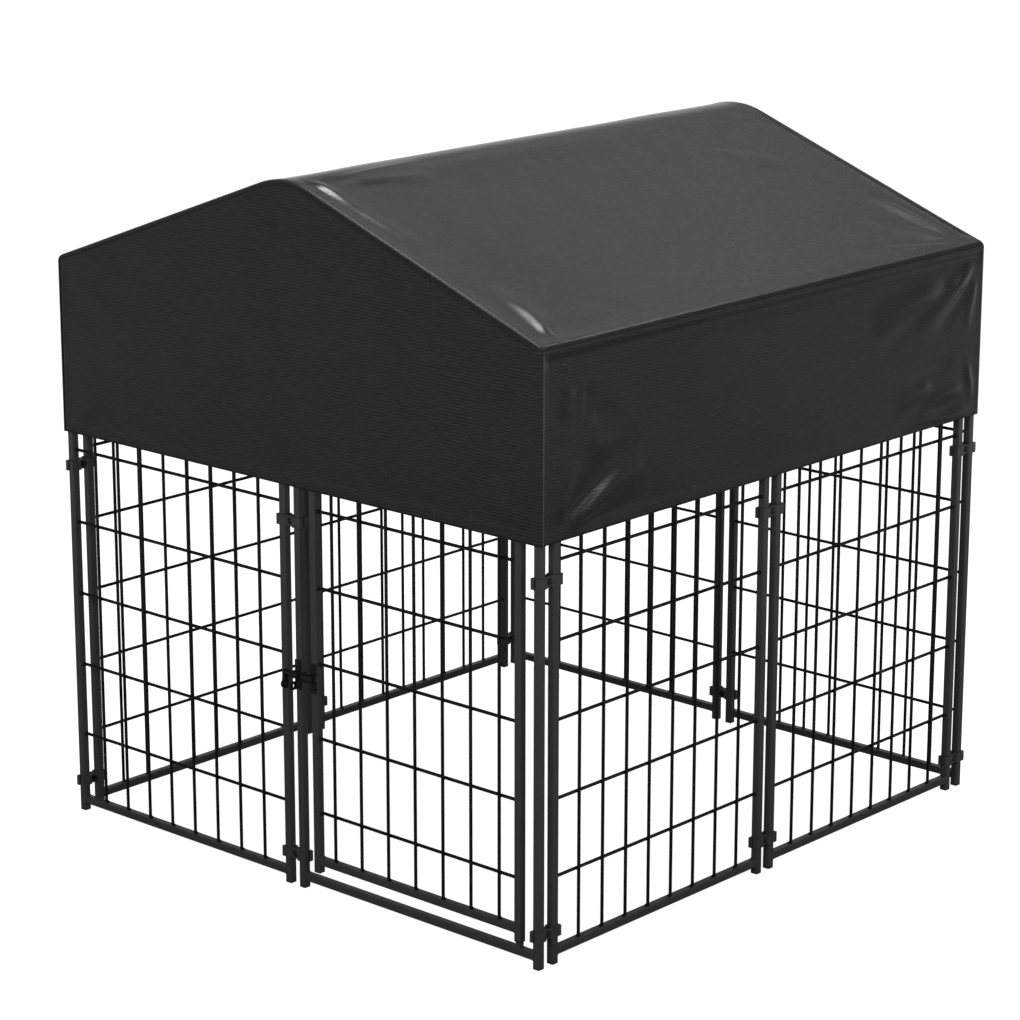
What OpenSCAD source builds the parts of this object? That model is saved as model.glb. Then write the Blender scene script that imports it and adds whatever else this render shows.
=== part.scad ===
// Outdoor dog kennel run: eight square-tube wire panels clamped into a box, a gate that swings
// inward on two pivots, a slide-bolt latch, a tube roof frame and a sewn gable cover.
// Millimetres, +Z up, origin on the ground at the centre of the plan. The gate side faces -Y
// and the ridge runs along Y.

/* [Panels] */
// Outer width of the square frame tube
tube = 15; // [13:0.5:17]
// Wall of the square frame tube
tube_wall = 1.2; // [0.8:0.1:1.6]
// Corner radius of the square frame tube
tube_round = 2; // [1.7:0.1:3]
// Width of one panel over its stiles
panel_w = 600; // [500:5:900]
// Height of a stile from the ground
stile_h = 1093; // [1000:1:1800]
// Height of the bottom rail's underside above the ground, and depth of the top rail below the stile top
rail_inset = 15.5; // [15:0.5:40]
// Clear gap between the two stiles of a joint
joint_gap = 22; // [20:0.5:34]
// Thickness of a plastic cap under or over a stile
cap_t = 3; // [2:0.5:5]
// Depth of a cap's plug inside the stile
cap_plug = 12; // [8:1:30]

/* [Wire mesh] */
// Diameter of the upright wires
wire_v = 6.2; // [3:0.1:7]
// Diameter of the level wires
wire_h = 6.2; // [3:0.1:7]
// How far the two wires of a crossing sink into each other at the weld
weld_sink = 0.5; // [0.2:0.1:1]
// Upright wires in a fixed panel
panel_wires = 8; // [4:1:14]
// Upright wires in the gate
gate_wires = 7; // [4:1:12]
// Distance of a fixed panel's outermost upright wires from its stiles
panel_edge = 59.2; // [30:0.1:90]
// Distance of the gate's outermost upright wires from its stiles
gate_edge = 38.8; // [20:0.1:70]
// Height of a fixed panel's lowest level wire
panel_row_first = 159.8; // [80:0.1:200]
// Spacing of a fixed panel's level wires
panel_row = 145.1; // [80:0.1:200]
// Height of the gate's lowest level wire
gate_row_first = 157.1; // [100:0.1:200]
// Spacing of the gate's level wires
gate_row = 145.1; // [80:0.1:200]

/* [Gate] */
// Clear gap between the gate and the stile on its hinge side
hinge_gap = 29.5; // [26:0.5:40]
// Clear gap between the gate and the stile on its latch side
latch_gap = 24.5; // [20:0.5:36]
// Clear gap between the gate and the rails above and below it
pivot_gap = 12; // [8:0.5:20]
// Distance of the gate's rails from the ends of its stiles
gate_rail_inset = 13.5; // [0:0.5:30]
// Wall of the pivot bushes round the spigots
bush_wall = 1.2; // [1:0.1:2]
// Diameter of the collars that carry the gate
collar_d = 14.6; // [13:0.1:18]
// Length of a pivot bush inside the gate stile
bush_len = 25; // [15:1:40]
// Thickness of a pivot bush's flange
bush_flange = 2; // [1.5:0.5:4]
// Width across the flats of the upper pivot bolt's head
pivot_head_af = 16; // [14:0.5:19]
// Height of the upper pivot bolt's head
pivot_head_h = 6; // [4:0.5:8]

/* [Latch] */
// Height of the latch above the ground
latch_z = 420; // [250:1:700]
// Diameter of the latch bolt
latch_bolt_d = 10; // [8:0.5:12]
// How far the shut bolt reaches into the keeper
keeper_bite = 6.5; // [5:0.5:10]
// Thickness of the latch's formed straps
latch_strap_t = 2.5; // [2:0.1:4]
// Half the height of the latch straps
latch_half_h = 28; // [25:0.5:45]
// Distance of the strap screws above and below the bolt
latch_screw_z = 19; // [17:0.5:22]
// How far the keeper reaches from the gate towards the bolt
keeper_reach = 14; // [12:0.5:16]
// Diameter of the strap screws
latch_screw_d = 4; // [3:0.5:5]
// Diameter of the padlock eye in the bolt's handle
eye_hole_d = 7; // [5:0.5:8]
// Thickness of the bolt's handle plate
handle_t = 5; // [3:0.5:6]

/* [Clamps] */
// Height of a clamp strap
clamp_h = 20; // [15:0.5:30]
// Thickness of a clamp strap
clamp_t = 2.5; // [2:0.1:4]
// How far a strap reaches past the tubes, lip included
clamp_over = 5; // [4:0.5:8]
// Depth of the lip at each end of a strap
clamp_lip = 5; // [3:0.5:7]
// Depth of the strap's dip between the tubes
clamp_dip = 4.5; // [2:0.5:5]
// Height of the lower clamps' centre
clamp_low = 62; // [50:1:120]
// Height of the upper clamps' centre
clamp_high = 709; // [500:1:740]
// Diameter of the clamp bolts
clamp_bolt_d = 6; // [4:0.5:6]

/* [Roof frame] */
// Outer diameter of the roof tubes
roof_d = 25; // [22:0.5:28]
// Wall of the roof tubes
roof_wall = 1.2; // [0.8:0.1:2]
// Gap between the stile caps and the eave tubes above them
eave_clear = 2.5; // [1:0.5:20]
// Rise of the cover's ridge over the eave tubes' axis
roof_rise = 225.5; // [170:0.5:400]
// Radius of the ridge over the cover
ridge_r = 185; // [60:1:260]
// Length of a fitting's spigot inside a roof tube
spigot_len = 30; // [20:1:50]
// Bare length of a fitting's arm between the knuckle and the tube on it
fitting_land = 5.5; // [4:0.5:12]

/* [Cover] */
// Drop of the cover's skirts below the eave tubes' axis
skirt_drop = 333; // [250:1:370]
// Thickness of the coated cloth with its hem and lining
cloth_t = 2; // [1.5:0.1:3]
// Height of the main tension folds
fold_h = 5; // [0:0.5:6]
// Sag of each roof slope between the gables
roof_sag = 4; // [0:0.5:8]

/* [Hidden] */
$fn = 48;
// Clearances between pieces that fit each other
run_fit = 0.05;
slip_fit = 0.1;
bolt_fit = 0.25;
keeper_fit = 1;
stop_gap = 0.5;
cloth_gap = 0.3;
seam_gap = 0.2;
thrust_gap = 0.1;
seat_gap = 0.3;
weld_root = 0.1;
// Extra length of a cut past the face that it opens
cut = 1;

// Plan of the panels
pitch = panel_w - tube;
joint = joint_gap + tube;
x_out = pitch + joint / 2;
y_out = pitch + joint * 3 / 2;
bay = (pitch + joint) / 2;
tube_bore = tube - 2 * tube_wall;
plug_w = tube_bore - 2 * slip_fit;
plug_round = max(0.2, tube_round - tube_wall);
rail_low = rail_inset;
rail_high = stile_h - rail_inset - tube;
clear_w = pitch - tube;
front_face = -y_out - tube / 2;

// Plan of the gate
gate_w = clear_w - hinge_gap - latch_gap;
gate_clear_w = gate_w - 2 * tube;
hinge_x = x_out - tube - hinge_gap;
gate_latch_x = joint / 2 + tube + latch_gap;
gate_mid_x = (hinge_x + gate_latch_x) / 2;
gate_low = rail_low + tube + pivot_gap;
gate_high = rail_high - pivot_gap;
gate_rail_low = gate_low + gate_rail_inset;
gate_rail_high = gate_high - gate_rail_inset - tube;
collar_h = pivot_gap - bush_flange - thrust_gap;
pivot_d = plug_w - 2 * bush_wall;

// Latch: the bolt lies just clear of the stile and slides from its guide into the keeper
latch_clear = 1;
latch_off = latch_bolt_d / 2 + latch_clear;
latch_y = front_face - latch_off;
surround_latch_x = joint / 2;
guide_left = surround_latch_x - tube / 2;
guide_right = surround_latch_x + tube / 2;
keeper_left = gate_latch_x - tube / 2 - keeper_reach;
bolt_tip = guide_right - latch_clear;
latch_stroke = keeper_left + keeper_bite - bolt_tip;
handle_right = guide_left - latch_stroke - stop_gap;
handle_left = handle_right - handle_t;
bolt_nose = 1;
eye_rim = 4.5;
eye_drop = 14;
eye_r = eye_hole_d / 2 + eye_rim;
eye_y = front_face - latch_clear - eye_r;
eye_z = latch_z - eye_r - eye_drop;
screw_head_d = 2 * latch_screw_d;
screw_head_h = 0.6 * latch_screw_d;
screw_grip = 4;
screw_len = latch_strap_t + tube_wall + screw_grip;

// Clamp: the floor of the strap's dip is as wide as the nut on it
clamp_half = joint / 2 + tube / 2 + clamp_over;
clamp_nut_af = 10 / 6 * clamp_bolt_d;
clamp_nut_h = 5 / 6 * clamp_bolt_d;
bolt_proud = 1;
dip_run = 3;
dip_bend = clamp_t * tan(atan2(clamp_dip, dip_run) / 2);
dip_floor = clamp_nut_af / 2 / cos(30) + seat_gap;
dip_flat = dip_floor + dip_bend;
dip_end = dip_flat + dip_run;
clamp_seat = tube / 2 + clamp_t - clamp_dip;
clamp_head_d = 2 * (dip_floor - slip_fit);
clamp_head_h = 0.28 * clamp_head_d;

// Roof: both slopes are tangent to the eave tubes and to the rounded ridge
roof_r = roof_d / 2;
eave_z = stile_h + cap_t + eave_clear + roof_r;
ridge_top = eave_z + roof_rise;
hem_z = eave_z - skirt_drop;
fitting_arm = roof_r + fitting_land;
shoulder_step = 0.7;
roof_bore_r = roof_r - roof_wall;
spigot_r = roof_bore_r - slip_fit;
cover_r = roof_r + cloth_gap;
ridge_axis_r = ridge_r - cover_r - cloth_t;
ridge_z = ridge_top - ridge_r;
ridge_rise = ridge_z - eave_z;
slope = atan2(ridge_rise, x_out) + asin(ridge_axis_r / norm([x_out, ridge_rise]));
slope_dir = [-cos(slope), sin(slope)];
ridge_tangent = [ridge_axis_r * sin(slope), ridge_z + ridge_axis_r * cos(slope)];
rafter_run = norm([x_out - ridge_tangent[0], ridge_tangent[1] - eave_z]);

// Cover sheet: samples of its half section and steps along the ridge
skirt_cells = 6;
eave_cells = 3;
slope_cells = 2;
ridge_cells = 3;
length_cells = 20;
corner_step = 15;
eave_step = (90 - slope) / eave_cells;
sheet_in = cover_r / cos(eave_step / 2);
sheet_out = sheet_in + cloth_t;

// Name, plan place and turn of each fixed panel; its outside is on the local -Y side
PANELS = [
    ["front_left", -bay, -y_out, 0],
    ["right_front", x_out, -bay, 90],
    ["right_rear", x_out, bay, 90],
    ["rear_right", bay, y_out, 180],
    ["rear_left", -bay, y_out, 180],
    ["left_rear", -x_out, bay, 270],
    ["left_front", -x_out, -bay, 270]
];
// Plan place and turn of each joint between two stiles
JOINTS = [
    [0, -y_out, 0],
    [x_out, -y_out + joint / 2, 90],
    [x_out, 0, 90],
    [x_out, y_out - joint / 2, 90],
    [0, y_out, 180],
    [-x_out, y_out - joint / 2, 270],
    [-x_out, 0, 270],
    [-x_out, -y_out + joint / 2, 270]
];
// Name and side of each corner of the roof: left or right, then front or rear
CORNERS = [
    ["front_left", -1, -1],
    ["front_right", 1, -1],
    ["rear_left", -1, 1],
    ["rear_right", 1, 1]
];
ENDS = [["front", -1], ["rear", 1]];
SIDES = [["left", -1], ["right", 1]];
CLAMP_LEVELS = [clamp_low, clamp_high];

// Tension folds of a skirt: start and end as shares of the half length and of the drop, half width as
// a share of the drop, share of fold_h
FOLDS = [
    [[-0.97, 0.02], [-0.34, 0.55], 0.11, 1],
    [[-0.95, 0.13], [-0.45, 0.75], 0.09, -0.6],
    [[-0.97, 0.18], [-0.82, 0.84], 0.09, 0.8],
    [[0.97, 0.95], [0.36, 0.51], 0.11, 1],
    [[0.94, 0.84], [0.48, 0.36], 0.09, -0.6],
    [[0.97, 0.03], [0.65, 0.37], 0.1, 0.8]
];

STEEL = "#2b2b2c";
WIRE = "#232324";
PLASTIC = "#1c1c1c";
ZINC = "#3a3a3c";
CLOTH = "#2a2a2a";

// Square with rounded corners
module round_square(w, r) {
    square([w, w - 2 * r], center = true);
    square([w - 2 * r, w], center = true);
    for (sx = [-1, 1], sy = [-1, 1])
        translate([sx * (w / 2 - r), sy * (w / 2 - r)]) circle(r);
}

// Section of the frame tube
module tube_section() {
    difference() {
        round_square(tube, tube_round);
        round_square(tube_bore, plug_round);
    }
}

// Upright tube from z0 to z1
module stile(x, z0, z1) {
    translate([x, 0, z0]) linear_extrude(z1 - z0) tube_section();
}

// Level tube between two stiles w apart, centred, with its underside at z
module rail(w, z) {
    translate([weld_root - w / 2, 0, z + tube / 2]) rotate([90, 0, 90])
        linear_extrude(w - 2 * weld_root) tube_section();
}

// Cap on a tube end: flange outside and plug inside, pointing up
module tube_cap(flange, plug) {
    linear_extrude(flange) round_square(tube, tube_round);
    linear_extrude(flange + plug) round_square(plug_w, plug_round);
}

// Welded wire grid between two stiles and two rails; upright wires stand on the outside
module wire_grid(w, z0, z1, count, edge, first, row) {
    apart = (wire_v + wire_h) / 2 - weld_sink;
    rows = floor((z1 - first - 2 * wire_h) / row);
    step = (w - 2 * edge) / (count - 1);
    for (i = [0:count - 1])
        translate([edge + i * step - w / 2, -apart / 2, z0]) cylinder(d = wire_v, h = z1 - z0);
    for (k = [0:rows])
        translate([-w / 2, apart / 2, first + k * row]) rotate([0, 90, 0]) cylinder(d = wire_h, h = w);
}

// Four welded tubes of a fixed panel
module panel_frame() {
    color(STEEL) {
        for (s = [-1, 1]) stile(s * pitch / 2, cap_t, stile_h);
        rail(clear_w, rail_low);
        rail(clear_w, rail_high);
    }
}

module panel_mesh() {
    color(WIRE)
        wire_grid(clear_w, rail_low + tube, rail_high, panel_wires, panel_edge, panel_row_first, panel_row);
}

module at_panel(p) {
    translate([p[1], p[2], 0]) rotate(p[3]) children();
}

// Holes for the strap screws in the front wall of the tube that carries a latch strap
module latch_screw_holes(x) {
    for (s = [-1, 1])
        translate([x, front_face + tube_wall + cut, latch_z + s * latch_screw_z])
            rotate([90, 0, 0]) cylinder(d = latch_screw_d + 2 * slip_fit, h = tube_wall + 2 * cut);
}

// Fixed frame round the gate: two stiles, a sill and a top rail drilled for the upper pivot
module gate_surround() {
    color(STEEL) {
        difference() {
            translate([bay, -y_out, 0]) stile(-pitch / 2, cap_t, stile_h);
            latch_screw_holes(surround_latch_x);
        }
        translate([bay, -y_out, 0]) stile(pitch / 2, cap_t, stile_h);
        translate([bay, -y_out, 0]) rail(clear_w, rail_low);
        difference() {
            translate([bay, -y_out, 0]) rail(clear_w, rail_high);
            translate([hinge_x, -y_out, rail_high - cut])
                cylinder(d = pivot_d + 2 * slip_fit, h = tube + 2 * cut);
        }
    }
}

// Push-in feet under all sixteen stiles
module stile_feet() {
    color(PLASTIC) for (c = JOINTS, s = [-1, 1])
        translate([c[0], c[1], 0]) rotate(c[2]) translate([s * joint / 2, 0, 0]) tube_cap(cap_t, cap_plug);
}

// Push-in caps on the stiles that carry no roof fitting
module stile_caps() {
    color(PLASTIC) for (c = JOINTS, s = [-1, 1]) {
        p = [c[0] + cos(c[2]) * s * joint / 2, c[1] + sin(c[2]) * s * joint / 2];
        if (abs(p[0]) < x_out - tube || abs(p[1]) < y_out - tube)
            translate([p[0], p[1], stile_h + cap_t]) mirror([0, 0, 1]) tube_cap(cap_t, cap_plug);
    }
}

// Four welded tubes of the gate
module gate_frame() {
    color(STEEL) {
        translate([0, -y_out, 0]) stile(hinge_x, gate_low, gate_high);
        difference() {
            translate([0, -y_out, 0]) stile(gate_latch_x, gate_low, gate_high);
            latch_screw_holes(gate_latch_x);
        }
        for (z = [gate_rail_low, gate_rail_high])
            translate([gate_mid_x, -y_out, 0]) rail(gate_clear_w, z);
    }
}

module gate_mesh() {
    low = gate_rail_low + tube;
    color(WIRE) translate([gate_mid_x, -y_out, 0])
        wire_grid(gate_clear_w, low, gate_rail_high, gate_wires, gate_edge, gate_row_first, gate_row);
}

// Flanged bush, flange down, with its bore
module pivot_bush() {
    difference() {
        tube_cap(bush_flange, bush_len);
        translate([0, 0, -cut]) cylinder(d = pivot_d + 2 * run_fit, h = bush_len + bush_flange + 2 * cut);
    }
}

module gate_pivot_bushes() {
    color(PLASTIC) {
        translate([hinge_x, -y_out, gate_low - bush_flange]) pivot_bush();
        translate([hinge_x, -y_out, gate_high + bush_flange]) mirror([0, 0, 1]) pivot_bush();
    }
}

module gate_stile_caps() {
    color(PLASTIC) {
        translate([gate_latch_x, -y_out, gate_low - cap_t]) tube_cap(cap_t, cap_plug);
        translate([gate_latch_x, -y_out, gate_high + cap_t]) mirror([0, 0, 1]) tube_cap(cap_t, cap_plug);
    }
}

// Collar on the sill with the spigot that the gate turns on
module lower_pivot_pin() {
    color(STEEL) translate([hinge_x, -y_out, rail_low + tube]) {
        cylinder(d = collar_d, h = collar_h);
        cylinder(d = pivot_d, h = collar_h + bush_flange + bush_len);
    }
}

// Hexagon bolt through the top rail into the upper bush
module upper_pivot_bolt() {
    reach = tube + collar_h + bush_flange + bush_len;
    color(ZINC) translate([hinge_x, -y_out, rail_high + tube]) {
        cylinder(d = pivot_head_af / cos(30), h = pivot_head_h, $fn = 6);
        translate([0, 0, -reach]) cylinder(d = pivot_d, h = reach + pivot_head_h / 2);
    }
}

module upper_pivot_spacer() {
    color(STEEL) translate([hinge_x, -y_out, rail_high - collar_h]) difference() {
        cylinder(d = collar_d, h = collar_h);
        translate([0, 0, -cut]) cylinder(d = pivot_d + 2 * slip_fit, h = collar_h + 2 * cut);
    }
}

// Outline of the bridge over the latch bolt at radius r, seen along the bolt; X is out from the stile
module bridge_outline(r) {
    translate([-latch_off, 0]) circle(r);
    translate([-latch_off, -r]) square([latch_off + r, 2 * r]);
}

// Formed strap that bridges the latch bolt from x0 to x1, cut flat where its flanges meet the stile
module latch_strap(x0, x1, x_stile, bore_r) {
    out_r = bore_r + latch_strap_t;
    difference() {
        union() {
            translate([x0, 0, 0]) rotate([90, 0, 90]) linear_extrude(x1 - x0) bridge_outline(out_r);
            translate([x_stile - tube / 2, -latch_strap_t, -latch_half_h])
                cube([tube, latch_strap_t, 2 * latch_half_h]);
        }
        translate([x0 - cut, 0, 0]) rotate([90, 0, 90])
            linear_extrude(x1 - x0 + 2 * cut) bridge_outline(bore_r);
        translate([x0 - cut, 0, -latch_half_h])
            cube([x1 - x0 + 2 * cut, latch_off + out_r, 2 * latch_half_h]);
        for (s = [-1, 1]) translate([x_stile, cut, s * latch_screw_z]) rotate([90, 0, 0])
            cylinder(d = latch_screw_d + 2 * slip_fit, h = latch_strap_t + 2 * cut);
    }
}

// Pan-head screws through a latch strap on the stile at x
module strap_screws(x) {
    for (s = [-1, 1])
        translate([x, front_face - latch_strap_t, latch_z + s * latch_screw_z]) rotate([90, 0, 0])
            rotate_extrude() polygon([
                [0, -screw_len], [latch_screw_d / 2, -screw_len], [latch_screw_d / 2, 0],
                [screw_head_d / 2, 0], [screw_head_d / 2, screw_head_h * 0.5],
                [screw_head_d * 0.3, screw_head_h], [0, screw_head_h]
            ]);
}

// Guide with an ear that the handle's padlock eye meets when the bolt is shut
module latch_guide() {
    color(STEEL) {
        translate([0, front_face, latch_z])
            latch_strap(guide_left, guide_right, surround_latch_x, latch_bolt_d / 2 + run_fit);
        translate([guide_left, 0, 0]) rotate([90, 0, 90]) linear_extrude(latch_strap_t) difference() {
            union() {
                translate([eye_y, eye_z]) circle(eye_r);
                translate([eye_y, eye_z - eye_r]) square([front_face - eye_y, 2 * eye_r]);
            }
            translate([eye_y, eye_z]) circle(d = eye_hole_d);
        }
    }
}

module latch_guide_screws() {
    color(ZINC) strap_screws(surround_latch_x);
}

// Round bolt with a chamfered nose, drawn back
module latch_bolt() {
    shank = bolt_tip - bolt_nose - handle_right - weld_root;
    color(ZINC) translate([handle_right + weld_root, latch_y, latch_z]) rotate([0, 90, 0]) {
        cylinder(d = latch_bolt_d, h = shank);
        translate([0, 0, shank])
            cylinder(d1 = latch_bolt_d, d2 = latch_bolt_d - 2 * bolt_nose, h = bolt_nose);
    }
}

// Hanging eye plate welded to the bolt's end as its handle
module latch_handle() {
    hub_r = latch_bolt_d / 2 + latch_clear / 2;
    lean = atan2(eye_y - latch_y, latch_z - eye_z);
    drop = norm([eye_y - latch_y, latch_z - eye_z]);
    color(ZINC) translate([handle_left, 0, 0]) rotate([90, 0, 90]) linear_extrude(handle_t) difference() {
        union() {
            translate([latch_y, latch_z]) circle(hub_r);
            translate([eye_y, eye_z]) circle(eye_r);
            translate([latch_y, latch_z]) rotate(lean)
                translate([-hub_r, -drop]) square([2 * hub_r, drop]);
        }
        translate([eye_y, eye_z]) circle(d = eye_hole_d);
    }
}

module latch_keeper() {
    color(STEEL) translate([0, front_face, latch_z])
        latch_strap(keeper_left, gate_latch_x + tube / 2, gate_latch_x, latch_bolt_d / 2 + keeper_fit);
}

module latch_keeper_screws() {
    color(ZINC) strap_screws(gate_latch_x);
}

// Half of a clamp: flat over both tubes, dipped between them, lipped past their outer sides
module clamp_strap() {
    face = -tube / 2;
    half = [
        [dip_flat, face + clamp_dip], [dip_end, face], [clamp_half - clamp_t, face],
        [clamp_half - clamp_t, face + clamp_lip], [clamp_half, face + clamp_lip],
        [clamp_half, face - clamp_t], [dip_end - dip_bend, face - clamp_t],
        [dip_floor, face + clamp_dip - clamp_t]
    ];
    mirrored = [for (i = [len(half) - 1:-1:0]) [-half[i][0], half[i][1]]];
    difference() {
        translate([0, 0, -clamp_h / 2]) linear_extrude(clamp_h) polygon(concat(half, mirrored));
        rotate([90, 0, 0])
            cylinder(d = clamp_bolt_d + 2 * bolt_fit, h = tube + 2 * clamp_t, center = true);
    }
}

module at_clamps() {
    for (c = JOINTS, z = CLAMP_LEVELS) translate([c[0], c[1], z]) rotate(c[2]) children();
}

module clamp_outer_straps() {
    color(STEEL) at_clamps() clamp_strap();
}

module clamp_inner_straps() {
    color(STEEL) at_clamps() rotate(180) clamp_strap();
}

// Domed bolt from the outer strap's dip to the nut on the inner strap's dip
module clamp_bolts() {
    dome_r = (clamp_head_d * clamp_head_d / 4 + clamp_head_h * clamp_head_h) / (2 * clamp_head_h);
    tail = clamp_seat + clamp_nut_h + bolt_proud;
    color(ZINC) at_clamps() rotate([90, 0, 0]) {
        translate([0, 0, -tail]) cylinder(d = clamp_bolt_d, h = tail + clamp_seat + clamp_head_h / 2);
        translate([0, 0, clamp_seat]) intersection() {
            cylinder(d = clamp_head_d, h = clamp_head_h + cut);
            translate([0, 0, clamp_head_h - dome_r]) sphere(dome_r);
        }
    }
}

module clamp_nuts() {
    color(ZINC) at_clamps() translate([0, clamp_seat, 0]) rotate([-90, 0, 0]) difference() {
        cylinder(d = clamp_nut_af / cos(30), h = clamp_nut_h, $fn = 6);
        translate([0, 0, -cut]) cylinder(d = clamp_bolt_d + 2 * slip_fit, h = clamp_nut_h + 2 * cut);
    }
}

// Turns the local Z axis into the direction up a roof slope, on the right-hand side
module along_slope() {
    rotate([0, slope - 90, 0]) children();
}

// Straight roof tube of length h along the local Z axis
module roof_tube(h) {
    difference() {
        cylinder(r = roof_r, h = h);
        translate([0, 0, -cut]) cylinder(r = roof_bore_r, h = h + 2 * cut);
    }
}

// Arm of a fitting along the local Z axis: shoulder as wide as the tube, then the spigot inside it
module fitting_spigot() {
    cylinder(r = roof_r - shoulder_step, h = fitting_arm);
    cylinder(r = spigot_r, h = fitting_arm + spigot_len);
}

// Three-way fitting on a corner stile: domed leg with a socket over the stile, arms to the rafter and
// the eave tube
module corner_fitting(side, end) {
    leg_low = rail_high + tube + seat_gap;
    color(PLASTIC) translate([side * x_out, end * y_out, 0]) mirror([side < 0 ? 1 : 0, 0, 0])
        mirror([0, end > 0 ? 1 : 0, 0]) difference() {
            union() {
                rotate_extrude() {
                    translate([0, leg_low]) square([roof_r, eave_z - leg_low]);
                    translate([0, eave_z]) intersection() {
                        circle(roof_r);
                        square(roof_r);
                    }
                }
                translate([0, 0, eave_z]) along_slope() fitting_spigot();
                translate([0, 0, eave_z]) rotate([-90, 0, 0]) fitting_spigot();
            }
            translate([0, 0, leg_low - cut]) linear_extrude(stile_h - leg_low + cut + slip_fit)
                round_square(tube + 2 * slip_fit, tube_round);
        }
}

// Tube up one slope of a gable
module rafter(side, end) {
    color(STEEL) mirror([side < 0 ? 1 : 0, 0, 0]) translate([x_out, end * y_out, eave_z]) along_slope()
        translate([0, 0, fitting_arm]) roof_tube(rafter_run - fitting_arm);
}

// Bent tube over the ridge with spigots for both rafters and the ridge pole
module apex_fitting(end) {
    color(PLASTIC) translate([0, end * y_out, 0]) mirror([0, end > 0 ? 1 : 0, 0]) {
        translate([0, 0, ridge_z]) rotate([90, 0, 0]) rotate(90 - slope)
            rotate_extrude(angle = 2 * slope) translate([ridge_axis_r, 0]) circle(roof_r);
        for (s = [0, 1]) mirror([s, 0, 0]) translate([ridge_tangent[0], 0, ridge_tangent[1]])
            rotate([0, 90 + slope, 0]) translate([0, 0, -cut]) cylinder(r = spigot_r, h = spigot_len + cut);
        translate([0, 0, ridge_z + ridge_axis_r]) rotate([-90, 0, 0])
            cylinder(r = spigot_r, h = fitting_arm + spigot_len);
    }
}

module ridge_pole() {
    half_len = y_out - roof_r - seat_gap;
    color(STEEL) translate([0, -half_len, ridge_z + ridge_axis_r]) rotate([-90, 0, 0])
        roof_tube(2 * half_len);
}

module eave_tube(side) {
    color(STEEL) translate([side * x_out, -y_out + fitting_arm, eave_z]) rotate([-90, 0, 0])
        roof_tube(2 * (y_out - fitting_arm));
}

// Half section of the cover from the hem to the ridge. Each sample is a point on the axis that the
// cloth follows, the angle of the outward normal and the distance of the cloth's underside
HALF_SECTION = concat(
    [for (i = [0:skirt_cells - 1]) [x_out, hem_z + (eave_z - hem_z) * i / skirt_cells, 0, sheet_in]],
    [for (i = [0:eave_cells]) [x_out, eave_z, (90 - slope) * i / eave_cells, sheet_in]],
    [for (i = [1:slope_cells]) [
        x_out + slope_dir[0] * rafter_run * i / slope_cells,
        eave_z + slope_dir[1] * rafter_run * i / slope_cells, 90 - slope, sheet_in
    ]],
    [for (i = [1:ridge_cells]) [0, ridge_z, 90 - slope + slope * i / ridge_cells, ridge_axis_r + sheet_in]]
);
half_n = len(HALF_SECTION);
SECTION = concat(
    HALF_SECTION,
    [for (i = [half_n - 2:-1:0]) let (p = HALF_SECTION[i]) [-p[0], p[1], 180 - p[2], p[3]]]
);
section_n = len(SECTION);

// Distance from point p to the segment a-b
function segment_gap(p, a, b) =
    let (ab = b - a, t = min(1, max(0, (p - a) * ab / (ab * ab)))) norm(p - a - t * ab);

// Height of the cloth over its plain form on a skirt, at y along the ridge and height z
function skirt_fold(y, z) = fold_h * sum_folds([y, z], len(FOLDS) - 1);
function one_fold(p, f) =
    f[3] * exp(-pow(segment_gap(p, on_skirt(f[0]), on_skirt(f[1])) / (f[2] * skirt_drop), 2));
function on_skirt(share) = [share[0] * y_out, hem_z + share[1] * skirt_drop];
function sum_folds(p, k) = k < 0 ? 0 : one_fold(p, FOLDS[k]) + sum_folds(p, k - 1);

// How far the cloth stands off its plain form at sample i and at share t of its length, from -1 to 1
function cloth_rise(i, t) =
    let (k = i < half_n ? i : section_n - 1 - i, p = HALF_SECTION[k], turn = i < half_n ? 1 : -1)
    k <= skirt_cells ? skirt_fold(turn * t * y_out, p[1]) * min(1, (skirt_cells - k) / 1.5, 6 * (1 - abs(t)))
    : k == skirt_cells + eave_cells + 1 ? -roof_sag * (1 - t * t)
    : 0;

// Where the cover ends along the ridge at sample i: square on the roof, rounded in plan at the corners
function cover_end(i) =
    let (p = SECTION[i], over = max(0, abs(p[0] + (p[3] + cloth_t) * cos(p[2])) - x_out))
    y_out + sqrt(max(0, sheet_out * sheet_out - over * over)) - (over > 0.5 ? seam_gap : 0);

// Point of the cover at sample i, step j along the ridge and depth d above the underside
function cover_point(i, j, d) =
    let (p = SECTION[i], t = 2 * j / length_cells - 1, r = p[3] + d + cloth_rise(i, t))
    [p[0] + r * cos(p[2]), t * cover_end(i), p[1] + r * sin(p[2])];

// Two triangles of a four-cornered cell
function cell(a, b, c, d) = [[a, b, c], [a, c, d]];

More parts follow.
